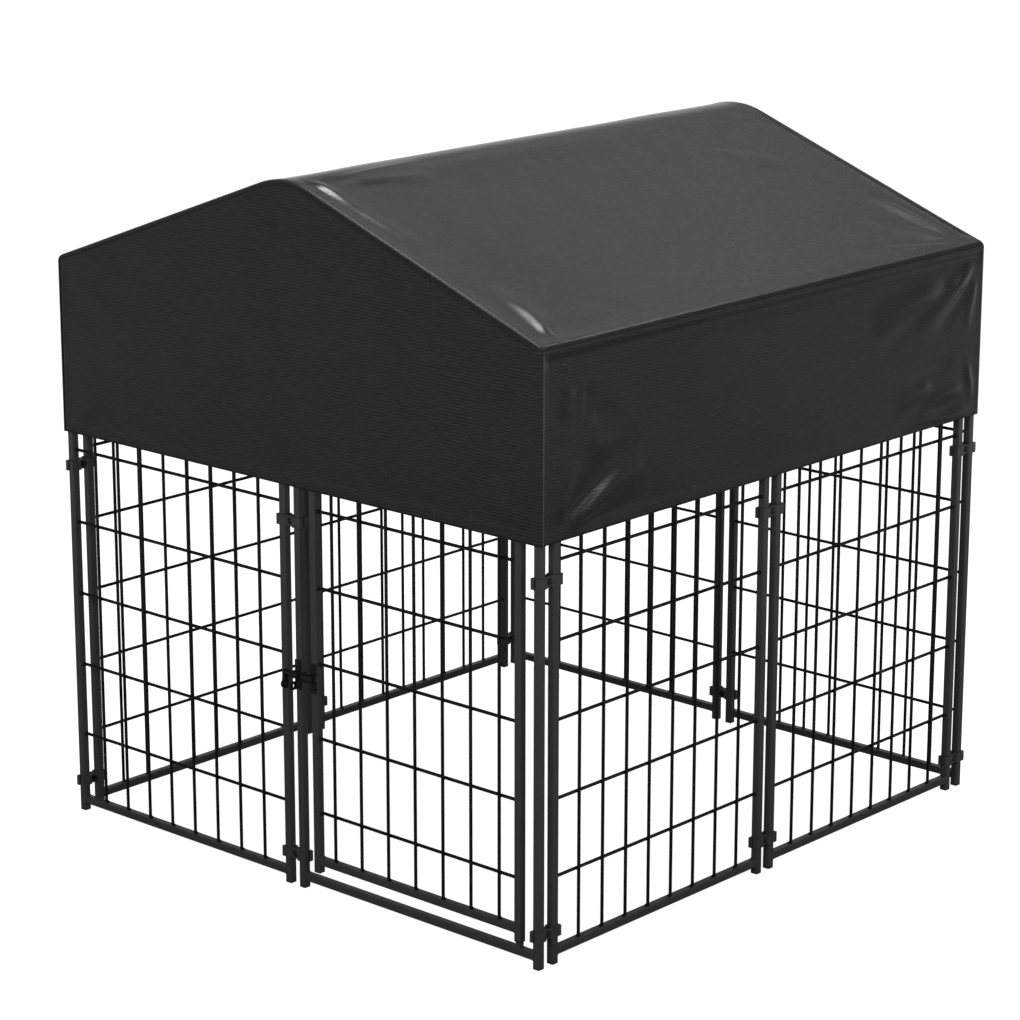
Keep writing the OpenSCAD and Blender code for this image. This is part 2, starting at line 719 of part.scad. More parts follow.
// Roof and both skirts, one sheet over the ridge
module cover_main() {
    n = section_n;
    m = length_cells + 1;
    points = [for (d = [cloth_t, 0], i = [0:n - 1], j = [0:m - 1]) cover_point(i, j, d)];
    top = function (i, j) i * m + j;
    low = function (i, j) n * m + i * m + j;
    upper = [for (i = [0:n - 2], j = [0:m - 2])
        each cell(top(i, j), top(i + 1, j), top(i + 1, j + 1), top(i, j + 1))];
    under = [for (i = [0:n - 2], j = [0:m - 2])
        each cell(low(i, j), low(i, j + 1), low(i + 1, j + 1), low(i + 1, j))];
    front = [for (i = [0:n - 2]) each cell(top(i, 0), low(i, 0), low(i + 1, 0), top(i + 1, 0))];
    rear = [for (i = [0:n - 2])
        each cell(top(i, m - 1), top(i + 1, m - 1), low(i + 1, m - 1), low(i, m - 1))];
    right_hem = [for (j = [0:m - 2]) each cell(top(0, j), top(0, j + 1), low(0, j + 1), low(0, j))];
    left_hem = [for (j = [0:m - 2])
        each cell(top(n - 1, j), low(n - 1, j), low(n - 1, j + 1), top(n - 1, j + 1))];
    color(CLOTH) polyhedron(points, concat(upper, under, front, rear, right_hem, left_hem));
}

// Line of a gable wall in plan at radius r from the corner stiles: round a corner up to its side seam,
// flat across the end and round the other corner
function gable_line(r) =
    let (corner = [for (a = [0:corner_step:90]) [x_out + r * cos(a), -y_out - r * sin(a)]])
    concat(corner, [for (i = [len(corner) - 1:-1:0]) [-corner[i][0], corner[i][1]]]);

// Gable panel, cut to the underside of the roof sheet
module cover_gable(end) {
    inner = gable_line(cover_r);
    plan = concat(gable_line(cover_r + cloth_t), [for (i = [len(inner) - 1:-1:0]) inner[i]]);
    under = [for (p = SECTION) [p[0], p[1]] + (p[3] - seam_gap) * [cos(p[2]), sin(p[2])]];
    color(CLOTH) mirror([0, end > 0 ? 1 : 0, 0]) intersection() {
        translate([0, 0, hem_z]) linear_extrude(ridge_top - hem_z) polygon(plan);
        rotate([90, 0, 0]) linear_extrude(2 * y_out) polygon(under);
    }
}

for (p = PANELS) at_panel(p) panel_frame();
for (p = PANELS) at_panel(p) panel_mesh();
gate_surround();
stile_feet();
stile_caps();
gate_frame();
gate_mesh();
gate_pivot_bushes();
gate_stile_caps();
lower_pivot_pin();
upper_pivot_bolt();
upper_pivot_spacer();
latch_guide();
latch_guide_screws();
latch_bolt();
latch_handle();
latch_keeper();
latch_keeper_screws();
clamp_outer_straps();
clamp_inner_straps();
clamp_bolts();
clamp_nuts();
for (c = CORNERS) corner_fitting(c[1], c[2]);
for (c = CORNERS) rafter(c[1], c[2]);
for (e = ENDS) apex_fitting(e[1]);
ridge_pole();
for (s = SIDES) eave_tube(s[1]);
cover_main();
for (e = ENDS) cover_gable(e[1]);
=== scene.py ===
"""Looks of an outdoor dog kennel run: powder-coated tube panels, welded wire and a sewn gable cover.

Metres, +Z up, the gate side faces -Y and the ridge runs along Y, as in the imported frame.
"""

import math

import bpy
import numpy as np
from bpy.props import FloatProperty, FloatVectorProperty, IntProperty, PointerProperty
from mathutils import Matrix, Vector


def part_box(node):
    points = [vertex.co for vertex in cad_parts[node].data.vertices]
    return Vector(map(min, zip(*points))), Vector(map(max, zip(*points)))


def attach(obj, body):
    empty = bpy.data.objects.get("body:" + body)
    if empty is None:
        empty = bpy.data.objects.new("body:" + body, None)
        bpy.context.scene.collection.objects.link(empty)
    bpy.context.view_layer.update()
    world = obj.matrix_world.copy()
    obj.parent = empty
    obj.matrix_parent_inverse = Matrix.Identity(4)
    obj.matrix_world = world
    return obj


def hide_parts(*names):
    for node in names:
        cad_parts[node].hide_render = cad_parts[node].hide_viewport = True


bl_info = {
    "name": "Dog kennel run",
    "version": (1, 0, 0),
    "blender": (4, 5, 0),
    "location": "View3D > Sidebar > Kennel",
    "description": "Finishes, weld beads, gable cover and stage for a wire-panel dog kennel run",
    "category": "Object",
}

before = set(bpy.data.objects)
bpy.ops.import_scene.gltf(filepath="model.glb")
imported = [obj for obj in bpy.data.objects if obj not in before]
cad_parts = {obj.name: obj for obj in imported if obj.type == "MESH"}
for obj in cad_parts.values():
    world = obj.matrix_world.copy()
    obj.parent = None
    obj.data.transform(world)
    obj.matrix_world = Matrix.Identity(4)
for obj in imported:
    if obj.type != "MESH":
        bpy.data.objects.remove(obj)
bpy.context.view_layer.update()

PANELS = "front_left", "right_front", "right_rear", "rear_right", "rear_left", "left_rear", "left_front"
CORNERS = "front_left", "front_right", "rear_left", "rear_right"
FIXED_FRAMES = tuple(name + "_frame" for name in PANELS) + ("gate_surround",)
FIXED_MESHES = tuple(name + "_mesh" for name in PANELS)
ROOF_STEEL = tuple("rafter_" + name for name in CORNERS) + (
    "ridge_pole", "eave_tube_left", "eave_tube_right",
)
FORMED_STEEL = (
    "clamp_outer_straps", "clamp_inner_straps", "lower_pivot_pin", "upper_pivot_spacer",
)
MOULDED_PARTS = tuple("corner_fitting_" + name for name in CORNERS) + (
    "stile_feet", "stile_caps", "gate_pivot_bushes", "gate_stile_caps",
    "apex_fitting_front", "apex_fitting_rear",
)
# The latch guide and keeper take the darker hardware colour, partly as painted shade in the latch
HARDWARE = (
    "clamp_bolts", "clamp_nuts", "latch_guide_screws", "latch_keeper_screws",
    "upper_pivot_bolt", "latch_guide", "latch_keeper", "latch_bolt", "latch_handle",
)

EAVE_LOW, EAVE_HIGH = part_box("eave_tube_right")
RIDGE_LOW, RIDGE_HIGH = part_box("ridge_pole")
RAFTER_LOW, RAFTER_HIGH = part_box("rafter_front_right")
PANEL_LOW, PANEL_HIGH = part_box("front_left_frame")

ROOF_TUBE_R = (EAVE_HIGH.z - EAVE_LOW.z) / 2
EAVE_X = (EAVE_LOW.x + EAVE_HIGH.x) / 2
EAVE_Z = (EAVE_LOW.z + EAVE_HIGH.z) / 2
GABLE_Y = -(RAFTER_LOW.y + RAFTER_HIGH.y) / 2
RIDGE_Z = (RIDGE_LOW.z + RIDGE_HIGH.z) / 2
HEM_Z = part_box("cover_front_gable")[0].z
TUBE = PANEL_HIGH.y - PANEL_LOW.y
TURN = 2 * math.pi

# Creases of the right-hand skirt, in millimetres. Each has its path as (along the ridge, height), its half
# width at start and end, its height at the end's width, and the share of that in the valley beside the path
SKIRT_CREASES = (
    (((620, 1094), (600, 1075), (552, 1040), (504, 1016), (434, 981)), 10, 28, 13.8, -0.25),
    (((606, 1046), (559, 1007), (500, 965)), 11, 22, -4.5, 0),
    (((530, 1056), (444, 1045), (378, 1032), (290, 1006)), 16, 30, 16.5, 0.20),
    (((623, 1058), (615, 1022), (605, 988), (600, 948)), 9, 12, 4.4, 0),
    (((598, 1097), (519, 1100), (441, 1099), (399, 1092)), 10, 14, -3.0, 0),
    (((620, 803), (608, 790), (548, 791), (458, 800), (381, 803)), 9, 13, 5.4, 0),
    (((604, 892), (608, 871), (619, 845), (619, 810)), 9, 10, 4.3, 0),
    (((595, 846), (525, 838), (456, 822)), 13, 22, 6.4, 0.35),
    (((494, 872), (417, 851), (368, 838)), 14, 24, 7.0, 0.35),
    (((560, 905), (480, 890), (410, 880)), 16, 22, -3.6, 0),
    (((-604, 788), (-560, 806), (-503, 834), (-450, 857), (-375, 882)), 13, 30, 12.0, 0.70),
    (((-607, 809), (-590, 851), (-570, 890), (-553, 905)), 11, 16, 6.4, 0),
    (((-602, 793), (-552, 798), (-488, 803), (-384, 813)), 9, 12, -4.0, 0),
    (((-571, 1048), (-592, 1020), (-591, 990)), 12, 16, 4.6, 0),
    (((-545, 1018), (-505, 1014)), 22, 22, -3.2, 0),
    (((-520, 985), (-440, 965)), 24, 26, -4.4, -0.70),
    (((-596, 1080), (-575, 1086)), 10, 12, 2.6, 0),
    (((-610, 1092), (-475, 1097), (-389, 1096)), 10, 13, -3.8, 0.40),
)

# Creases of the right-hand roof slope, with paths as (along the ridge, distance up from the eave tube)
ROOF_CREASES = (
    (((-597, 12), (-583, 46), (-569, 84), (-564, 115), (-560, 150), (-555, 190)), 15, 25, 9.2, 0),
    (((-612, 614), (-605, 588), (-599, 562), (-596, 535), (-594, 510)), 11, 16, 6.0, 0),
    (((-600, 540), (-596, 480), (-588, 425), (-578, 340)), 12, 18, 3.8, 0),
    (((-575, 594), (-500, 584), (-440, 575), (-340, 566)), 9, 16, 6.6, 0),
    (((-560, 606), (-480, 608), (-420, 612), (-310, 616)), 9, 13, 5.2, 0),
    (((600, 580), (500, 550), (420, 495)), 20, 36, -5.5, 0),
    (((510, 392), (434, 430), (389, 458), (325, 495)), 22, 30, -5.6, 0),
    (((605, 17), (586, 136), (569, 245)), 13, 22, 7.0, 0),
    (((590, 6), (462, 27), (297, 56)), 12, 22, 6.4, -0.45),
    (((600, 20), (530, 80), (440, 150)), 13, 26, 6.4, 0),
    (((-452, 98), (-300, 58)), 28, 36, -1.2, 0),
)

# Creases of a gable, with paths as (across, height), as seen from outside
GABLE_CREASES = (
    (((585, 1085), (520, 1050), (440, 1020)), 14, 34, 1.6, 0.45),
    (((-585, 1085), (-510, 1050), (-430, 1020)), 14, 34, 1.6, -0.45),
    (((590, 800), (545, 830), (470, 850)), 12, 28, 1.5, 0),
    (((-590, 795), (-550, 825), (-500, 850)), 12, 28, 1.5, 0),
)
MILLIMETRE = 0.001
# Share of the right-hand creases' height on the left, and where these end below the ridge
LEFT_SHARE, LEFT_END = 0.85, 0.15
# Height at a crease's start, share of its path over which it rises, and its valley's place in half widths
CREASE_START, CREASE_RUN, VALLEY_AT = 0.1, 0.15, 1.7

# Rows and columns of the cloth's grids, and the shares by which they crowd towards the edges
SKIRT_ROWS, EAVE_ROWS, SLOPE_ROWS, RIDGE_ROWS = 65, 9, 44, 7
EDGE_COLUMNS, ROOF_COLUMNS, GABLE_COLUMNS = 11, 166, 150
SLOPE_CROWD, ROOF_CROWD, GABLE_CROWD = 0.07, 0.15, 0.06
# Distances of the roof's first columns from a sewn edge, and of the column that follows them
FIRST_COLUMNS, NEXT_COLUMN = (0.0, 0.0007, 0.0014, 0.0021, 0.0028, 0.0040), 0.0060

# Distances from (eave, ridge, sewn edge) over which the roof comes free, for its sag, drop and folds
SAG_REACH, DROP_REACH, FOLD_REACH = (0.06, 0.10, 0.16), (0.02, 0.08, 0.005), (0.010, 0.012, 0.014)
# The same for the folds of skirts and gables, and the run up the slope to the whole rake radius
FREE, RAKE_RUN = 0.012, 0.06
# Width of the roll over a rafter, and of the bevel on the outside of the sewn band
ROLL, BAND_BEVEL = 0.003, 0.003
# Place and width of the tuck below the eave tube, and where it and the recess begin
TUCK_BELOW, TUCK_WIDTH, TUCK_START, RECESS_START = 0.016, 0.011, 0.008, 0.010
# Place and width of the piped seam
PIPING_IN, PIPING_WIDTH = 0.0014, 0.0009
# Heights of the slow waves, greatest depths of the hollows, and a doubled band's step with its run
WAVE, GABLE_WAVE = 0.0008, 0.0004
SKIRT_DEPTH, GABLE_DEPTH = 0.0050, 0.0016
BAND_STEP, BAND_RUN = 0.0005, 0.002
# How deep a cord sits in its seam, its rows and its sides
CORD_SUNK, CORD_ROWS, CORD_SIDES = 0.0002, 12, 8
# Place of the stitches in from a band's edge and beside a rafter, and the larger cut of a sheet
HEM_STITCH, RAKE_STITCH, CUT_SHARE = 0.003, 0.004, 1.01
# A stitch's half length as a share of its pitch, its radius, and how far it stands up
STITCH_HALF, STITCH_R, STITCH_UP = 0.31, 0.00055, 0.0001
# Points of a sheet's row or column that carry stitches
ROOF_ROW, GABLE_ROW, RAKE_COLUMN = slice(8, -8), slice(3, -3), slice(2, -2)

# Steps round a rail and sides of a weld bead, its ripples, their share of its radius, and how deep it sits
WELD_STEPS, WELD_SIDES, RIPPLES, RIPPLE, WELD_SUNK = 52, 6, 26, 0.16, 0.00018
# Power that makes a circle a rounded square: nearer to 0 is squarer
SQUARENESS = 0.28
# Rows and sides of the small ellipsoids of stitches and weld nuggets
BALL_ROWS, BALL_SIDES = 5, 6
# Radius of a nugget at a crossing and at a wire's end, as shares of the wire's
CROSSING, TIP = 1.12, 1.3

DUST_ON_COAT, DUST_ON_CLOTH = (0.16, 0.155, 0.145, 1.0), (0.15, 0.147, 0.14, 1.0)

# Name, place, aimed-at point, width and height, and watts of each softbox
LAMPS = (
    ("front softbox", (2.6, -4.6, 2.9), (0.1, -0.3, 0.8), (3.0, 2.0), 124),
    ("back softbox", (-1.46, 3.95, 4.6), (0.3, 0.0, 1.2), (3.2, 2.4), 16.5),
    ("eave strip", (0.1, 3.96, 4.9), (0.6, 0.0, 1.1), (2.2, 0.25), 22),
    ("key strip", (-0.60, 0.90, 4.15), (0.2, -0.4, 1.2), (0.8, 0.45), 74),
    ("right box", (4.5, 2.2, 2.1), (0.6, 0.0, 0.95), (0.8, 0.5), 38),
)
FLOOR_HALF, FLOOR_POINTS, FLOOR_Z, FLOOR_GLOW = 14, 9, -0.0005, 0.92
# Distances from the middle at which the floor's glow begins and is whole in reflections; nearer in, its lack
# is painted shadow round the object
GLOW_START, GLOW_WHOLE = 2.0, 4.4
# Level of the world's light, and heights of a direction at which it is grey and white in reflections
WORLD_LEVEL, SKY_GREY, SKY_WHITE = 0.25, 0.45, 0.05
CAMERA_PLACE, CAMERA_ANGLES = (4.2261, -4.7381, 2.3323), (41.891, 15.271, 0.070)
CAMERA_LENS, CAMERA_SHIFT, CAMERA_REACH = 117.85, -0.0066, 60.0


def metres(name, description, default):
    """Property that holds a length."""
    return FloatProperty(name=name, description=description, default=default, unit="LENGTH")


def paint(name, description, *rgb):
    """Property that holds an opaque colour."""
    return FloatVectorProperty(
        name=name, description=description, subtype="COLOR", size=4, default=(*rgb, 1.0), min=0.0, max=1.0)


class FrameSizes(bpy.types.PropertyGroup):
    """Sizes of the welds on the panels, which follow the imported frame."""

    rail_inset: metres("Rail inset", "Distance of a panel's rails from the ends of its stiles", 0.0155)
    gate_rail_inset: metres(
        "Gate rail inset", "Distance of the gate's rails from the ends of its stiles", 0.0135)
    bead: metres("Weld bead", "Radius of the weld bead round a rail's end", 0.0012)
    panel_wires: IntProperty(name="Panel wires", description="Upright wires in a fixed panel", default=8)
    gate_wires: IntProperty(name="Gate wires", description="Upright wires in the gate", default=7)
    panel_edge: metres("Panel edge", "Distance of a panel's outermost upright wires from its stiles", 0.0592)
    gate_edge: metres("Gate edge", "Distance of the gate's outermost upright wires from its stiles", 0.0388)
    panel_row_first: metres("First panel row", "Height of a panel's lowest level wire", 0.1598)
    gate_row_first: metres("First gate row", "Height of the gate's lowest level wire", 0.1571)
    row: metres("Row", "Spacing of the level wires", 0.1451)
    wire: metres("Wire", "Radius of the wires", 0.0031)


class CoverSizes(bpy.types.PropertyGroup):
    """Sizes of the sewn cover over the roof tubes."""

    cloth_r: metres(
        "Cloth radius", "Distance of the cloth's outside from the roof tubes' axes", ROOF_TUBE_R + 0.0012)
    cloth_t: metres("Cloth thickness", "Thickness of the coated cloth", 0.0006)
    ridge_bend: metres("Ridge bend", "Bend radius of the roof tube's axis over the ridge", 0.1702)
    rake_r: metres("Rake radius", "Bend radius of the cloth over the gables' sloping edges", 0.0090)
    corner_r: metres("Corner radius", "Bend radius of the cloth round the upright corners", 0.0070)
    wall_recess: metres("Wall recess", "How far the skirts hang behind the rolls over the tubes", 0.0012)
    tuck: metres("Eave tuck", "Depth of the tuck in the skirts under the rolls over the eave tubes", 0.0034)
    piping: metres("Piping", "Height of the piped seam beside the gables' rolls", 0.0002)
    cord: metres("Cord", "Radius of the piping cords in the upright seams", 0.0016)
    gable_recess: metres("Gable recess", "How far a gable lies behind its sewn edges", 0.0004)
    roof_sag: metres("Roof sag", "Sag of the roof cloth between the tubes", 0.0014)
    rake_drop: metres("Rake drop", "How far the roof lies behind the rolls over the rafters", 0.0030)
    seam: metres("Seam", "Width of the proud cloth beside a sewn edge", 0.011)
    crease: FloatProperty(
        name="Creases", description="Share of the height of the tension creases",
        default=1.0, min=0.0, max=1.5)
    band: metres("Hem band", "Width of the sewn band at hems and roof edges", 0.022)
    stitch: metres("Stitch", "Length of one stitch with its gap", 0.0075)


class FinishColours(bpy.types.PropertyGroup):
    """Colours of the finishes."""

    steel: paint("Powder coat", "Colour of the coated tubes and straps", 0.042, 0.042, 0.043)
    wire: paint("Wire coat", "Colour of the coated wire", 0.006, 0.006, 0.0063)
    plastic: paint("Plastic", "Colour of the moulded parts", 0.010, 0.010, 0.0102)
    # Partly painted shade: darker than the black finish alone, for the shade in the latch and round the bolt
    # heads
    hardware: paint("Hardware", "Colour of the black-finished fasteners and latch", 0.007, 0.007, 0.0073)
    # Painted shade over the cloth's own colour: the valleys between the ribs are darker, the ribs lighter
    cloth_low: paint("Cloth valleys", "Colour of the cloth between its ribs", 0.005, 0.005, 0.0051)
    cloth_high: paint("Cloth ribs", "Colour of the cloth on its ribs", 0.040, 0.040, 0.0406)
    thread: paint("Thread", "Colour of the seam thread", 0.012, 0.012, 0.0122)
    floor: paint("Floor", "Colour of the studio floor", 0.40, 0.40, 0.40)


class WeaveSizes(bpy.types.PropertyGroup):
    """Sizes of the cloth's weave and of the coats' grain."""

    rib: metres("Rib spacing", "Spacing of the cloth's level ribs", 0.0057)
    yarn: metres("Yarn spacing", "Spacing of the cloth's cross yarns", 0.0034)
    grain: metres("Coat grain", "Size of the powder coat's orange peel", 0.0016)


def quad_grid(rows, cols, close_cols=False):
    """Quads (n, 4) of a grid of rows x cols points: cell (i, j) joins j to j + 1, wrapped if cols close."""
    i = np.arange(rows - 1)[:, None]
    j = np.arange(cols if close_cols else cols - 1)[None, :]
    k = (j + 1) % cols
    return np.stack([i * cols + j, i * cols + k, (i + 1) * cols + k, (i + 1) * cols + j], -1).reshape(-1, 4)


def repeat_faces(quads, verts):
    """Quads of one shape repeated for every copy of it in a vertex array (copies, rows, cols, 3)."""
    first = np.arange(len(verts)) * (verts[0].size // 3)
    return (first[:, None, None] + quads[None]).reshape(-1, 4)


def round_steps(count):
    """Equal angles round a full turn, without its end."""
    return np.linspace(0, TURN, count + 1)[:-1]


def unit(v):
    """Vectors over their lengths."""
    return v / np.maximum(np.linalg.norm(v, axis=-1, keepdims=True), 1e-12)


def make_piece(name, verts, quads, material, body, uv=None):
    """New smooth mesh object of vertices and quads that rides on a body; faces of no area are dropped."""
    verts = np.asarray(verts, float).reshape(-1, 3)
    mesh = bpy.data.meshes.new(name)
    mesh.vertices.add(len(verts))
    mesh.vertices.foreach_set("co", verts.astype(np.float32).ravel())
    mesh.loops.add(quads.size)
    mesh.loops.foreach_set("vertex_index", quads.astype(np.int32).ravel())
    mesh.polygons.add(len(quads))
    mesh.polygons.foreach_set("loop_start", np.arange(0, quads.size, 4, dtype=np.int32))
    if uv is not None:
        layer = mesh.uv_layers.new(name="cloth")
        layer.data.foreach_set("uv", np.asarray(uv, np.float32).reshape(-1, 2)[quads.ravel()].ravel())
    mesh.update(calc_edges=True)
    mesh.validate()
    mesh.polygons.foreach_set("use_smooth", np.ones(len(mesh.polygons), bool))
    mesh.materials.append(material)
    obj = bpy.data.objects.new(name, mesh)
    bpy.context.scene.collection.objects.link(obj)
    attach(obj, body)
    return obj


def finish_nodes(names, material):
    """Gives every named CAD node the material."""
    for name in names:
        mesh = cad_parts[name].data
        mesh.materials.clear()
        mesh.materials.append(material)


def give(tree, node, inputs):
    """Links sockets to a node's inputs, or sets plain values on them."""
    for key, value in inputs.items():
        if hasattr(value, "is_linked"):
            tree.links.new(value, node.inputs[key])
        else:
            node.inputs[key].default_value = value


def new_node(tree, kind, inputs=None, **settings):
    """Adds a node to a tree, with settings as attributes, and sockets or values for its inputs."""
    made = tree.nodes.new(kind)
    for key, value in settings.items():
        setattr(made, key, value)
    give(tree, made, inputs or {})
    return made


def maths(tree, operation, *operands):
    """Math node whose operands are sockets or numbers; returns its output."""
    return new_node(tree, "ShaderNodeMath", dict(enumerate(operands)), operation=operation).outputs[0]


def parts(tree, vector):
    """Outputs X, Y and Z of a vector."""
    return new_node(tree, "ShaderNodeSeparateXYZ", {0: vector}).outputs


def noise(tree, place, inputs, dimensions="3D"):
    """Noise texture at a place; returns its value."""
    made = new_node(tree, "ShaderNodeTexNoise", {"Vector": place, **inputs}, noise_dimensions=dimensions)
    return made.outputs["Fac"]


def ramp(tree, value, low, high, kind="SMOOTHSTEP"):
    """Map Range node that goes from 0 at low to 1 at high; returns its output."""
    inputs = {"Value": value, "From Min": low, "From Max": high}
    return new_node(tree, "ShaderNodeMapRange", inputs, interpolation_type=kind).outputs[0]


def blend_colours(tree, factor, low, high):
    """Mix of two colours or sockets by a factor socket; returns its output."""
    return new_node(tree, "ShaderNodeMix", {"Factor": factor, 6: low, 7: high}, data_type="RGBA").outputs[2]


def scaled(colour, share):
    """Colour times a share, with its alpha kept."""
    return tuple(min(1.0, c * share) for c in colour[:3]) + (1.0,)


def new_group(name, vectors, values, outputs):
    """Shader node group with named sockets; returns the tree and its input and output nodes."""
    tree = bpy.data.node_groups.new(name, "ShaderNodeTree")
    for labels, way, kind in (
            (vectors, "INPUT", "Vector"), (values, "INPUT", "Float"), (outputs, "OUTPUT", "Float")):
        for label in labels:
            tree.interface.new_socket(label, in_out=way, socket_type="NodeSocket" + kind)
    return tree, tree.nodes.new("NodeGroupInput"), tree.nodes.new("NodeGroupOutput")


def weave_group():
    """Ribbed weave on UV metres. Rib = sin(2 pi v / rib + slow noise), yarn the same along u; height
    mixes the two, and in the tone a stretched noise breaks the ribs into dashes and a slow one varies
    their strength. The tone is painted shade: it darkens the valleys between the ribs and lightens their
    crests."""
    tree = bpy.data.node_groups.get("Ribbed weave")
    if tree:
        return tree
    tree, inp, out = new_group(
        "Ribbed weave", ("Cloth",), ("Rib spacing", "Yarn spacing"), ("Tone", "Height", "Patch"))
    cloth = inp.outputs["Cloth"]
    wander = maths(tree, "MULTIPLY", noise(tree, cloth, {"Scale": 26.0, "Detail": 2.0}, "2D"), 4.0)
    patch = noise(tree, cloth, {"Scale": 9.0, "Detail": 3.0}, "2D")
    stretch = new_node(tree, "ShaderNodeVectorMath", {0: cloth, 1: (70.0, 190.0, 1.0)}, operation="MULTIPLY")
    slub = noise(tree, stretch.outputs[0], {"Scale": 1.0, "Detail": 1.0}, "2D")
    across = parts(tree, cloth)
    waves = []
    for axis, spacing in (("Y", "Rib spacing"), ("X", "Yarn spacing")):
        count = maths(tree, "DIVIDE", across[axis], inp.outputs[spacing])
        waves.append(maths(tree, "SINE", maths(tree, "MULTIPLY_ADD", count, TURN, wander)))
    rib, yarn = waves
    weave = maths(tree, "MULTIPLY_ADD", yarn, 0.22, maths(tree, "MULTIPLY", rib, 0.30))
    dashes = maths(tree, "MAXIMUM", maths(tree, "MULTIPLY_ADD", slub, 5.0, -1.7), 0.0)
    dashes = maths(tree, "MINIMUM", dashes, 1.7)
    strength = maths(tree, "MULTIPLY_ADD", patch, 0.9, 0.45)
    tone = maths(tree, "MULTIPLY_ADD", maths(tree, "MULTIPLY", weave, dashes), strength, 0.5)
    give(tree, out, {"Tone": tone, "Height": maths(tree, "ADD", weave, 0.5), "Patch": patch})
    return tree


def grain_group():
    """Orange peel of a sprayed coat: fine noise as height, and a slow and a fine noise mixed as tone."""
    tree = bpy.data.node_groups.get("Coat grain")
    if tree:
        return tree
    tree, inp, out = new_group("Coat grain", ("Place",), ("Grain",), ("Tone", "Height"))
    place = inp.outputs["Place"]
    scale = maths(tree, "DIVIDE", 1.0, inp.outputs["Grain"])
    fine = noise(tree, place, {"Scale": scale, "Detail": 2.0, "Roughness": 0.55})
    slow = noise(tree, place, {"Scale": 7.0, "Detail": 4.0})
    tone = maths(tree, "MULTIPLY_ADD", fine, 0.35, maths(tree, "MULTIPLY", slow, 0.65))
    give(tree, out, {"Tone": tone, "Height": fine})
    return tree


def dust_group():
    """Settled dust: faces that look up, broken by noise."""
    tree = bpy.data.node_groups.get("Settled dust")
    if tree:
        return tree
    tree, inp, out = new_group("Settled dust", ("Place", "Facing"), (), ("Dust",))
    cloud = noise(tree, inp.outputs["Place"], {"Scale": 38.0, "Detail": 5.0, "Roughness": 0.6})
    up = ramp(tree, parts(tree, inp.outputs["Facing"])["Z"], 0.55, 1.0)
    give(tree, out, {"Dust": maths(tree, "MULTIPLY", up, ramp(tree, cloud, 0.35, 0.75))})
    return tree


def shade(name):
    """New material; returns it, its tree, its Principled shader and its coordinate sockets."""
    material = bpy.data.materials.new(name)
    material.use_nodes = True
    tree = material.node_tree
    return material, tree, tree.nodes["Principled BSDF"], new_node(tree, "ShaderNodeTexCoord").outputs


def bumpy(tree, height, strength, distance):
    """Bump node on a height socket; returns its normal."""
    inputs = {"Height": height, "Strength": strength, "Distance": distance}
    return new_node(tree, "ShaderNodeBump", inputs).outputs["Normal"]


def dusted(tree, place, colour, share, dust):
    """Colour socket under a share of settled dust."""
    inputs = {"Place": place["Object"], "Facing": place["Normal"]}
    settled = new_node(tree, "ShaderNodeGroup", inputs, node_tree=dust_group())
    return blend_colours(tree, maths(tree, "MULTIPLY", settled.outputs["Dust"], share), colour, dust)


def coat_material(name, colour, grain, roughness, specular, dust=0.10, bump=0.12):
    """Sprayed coat in a named colour: mottled, with orange peel at a share of the grain's size,
    roughness that wanders with it, and dust on top."""
    if name in bpy.data.materials:
        return bpy.data.materials[name]
    scene = bpy.context.scene
    colour = getattr(scene.kennel_colours, colour)
    material, tree, shader, place = shade(name)
    inputs = {"Grain": scene.kennel_weave.grain * grain, "Place": place["Object"]}
    peel = new_node(tree, "ShaderNodeGroup", inputs, node_tree=grain_group())
    tone = peel.outputs["Tone"]
    coat = blend_colours(tree, tone, scaled(colour, 0.75), scaled(colour, 1.25))
    give(tree, shader, {
        "Base Color": dusted(tree, place, coat, dust, DUST_ON_COAT),
        "Roughness": maths(tree, "MULTIPLY_ADD", tone, 0.16, roughness - 0.08),
        "Normal": bumpy(tree, peel.outputs["Height"], bump, 0.0004),
        "Specular IOR Level": specular})
    return material


def cloth_material():
    """Coated ribbed cloth: rib and yarn tone with painted shade between the ribs, slow colour patches, and a
    satin coat that is smoother on the ribs and duller on the bound rakes."""
    if "coated_cloth" in bpy.data.materials:
        return bpy.data.materials["coated_cloth"]
    colours, sizes = bpy.context.scene.kennel_colours, bpy.context.scene.kennel_weave
    material, tree, shader, place = shade("coated_cloth")
    inputs = {"Cloth": place["UV"], "Rib spacing": sizes.rib, "Yarn spacing": sizes.yarn}
    weave = new_node(tree, "ShaderNodeGroup", inputs, node_tree=weave_group())
    tone = weave.outputs["Tone"]
    # Painted shade: the tone darkens the cloth between its ribs and lightens their crests
    ribs = blend_colours(tree, tone, tuple(colours.cloth_low), tuple(colours.cloth_high))
    patches = maths(tree, "MULTIPLY", weave.outputs["Patch"], 0.22)
    worn = blend_colours(tree, patches, ribs, scaled(colours.cloth_low, 0.8))
    along = maths(tree, "ABSOLUTE", parts(tree, place["UV"])["X"])
    bound = ramp(tree, along, GABLE_Y - 0.003, GABLE_Y + 0.001, "LINEAR")
    high = ramp(tree, parts(tree, place["Object"])["Z"], EAVE_Z, EAVE_Z + 0.01, "LINEAR")
    satin = maths(tree, "MULTIPLY_ADD", tone, -0.08, 0.29)
    give(tree, shader, {
        "Base Color": dusted(tree, place, worn, 0.05, DUST_ON_CLOTH),
        "Roughness": maths(tree, "MULTIPLY_ADD", maths(tree, "MULTIPLY", bound, high), 0.20, satin),
        "Normal": bumpy(tree, weave.outputs["Height"], 0.06, 0.0006),
        "Specular IOR Level": 0.09})
    return material


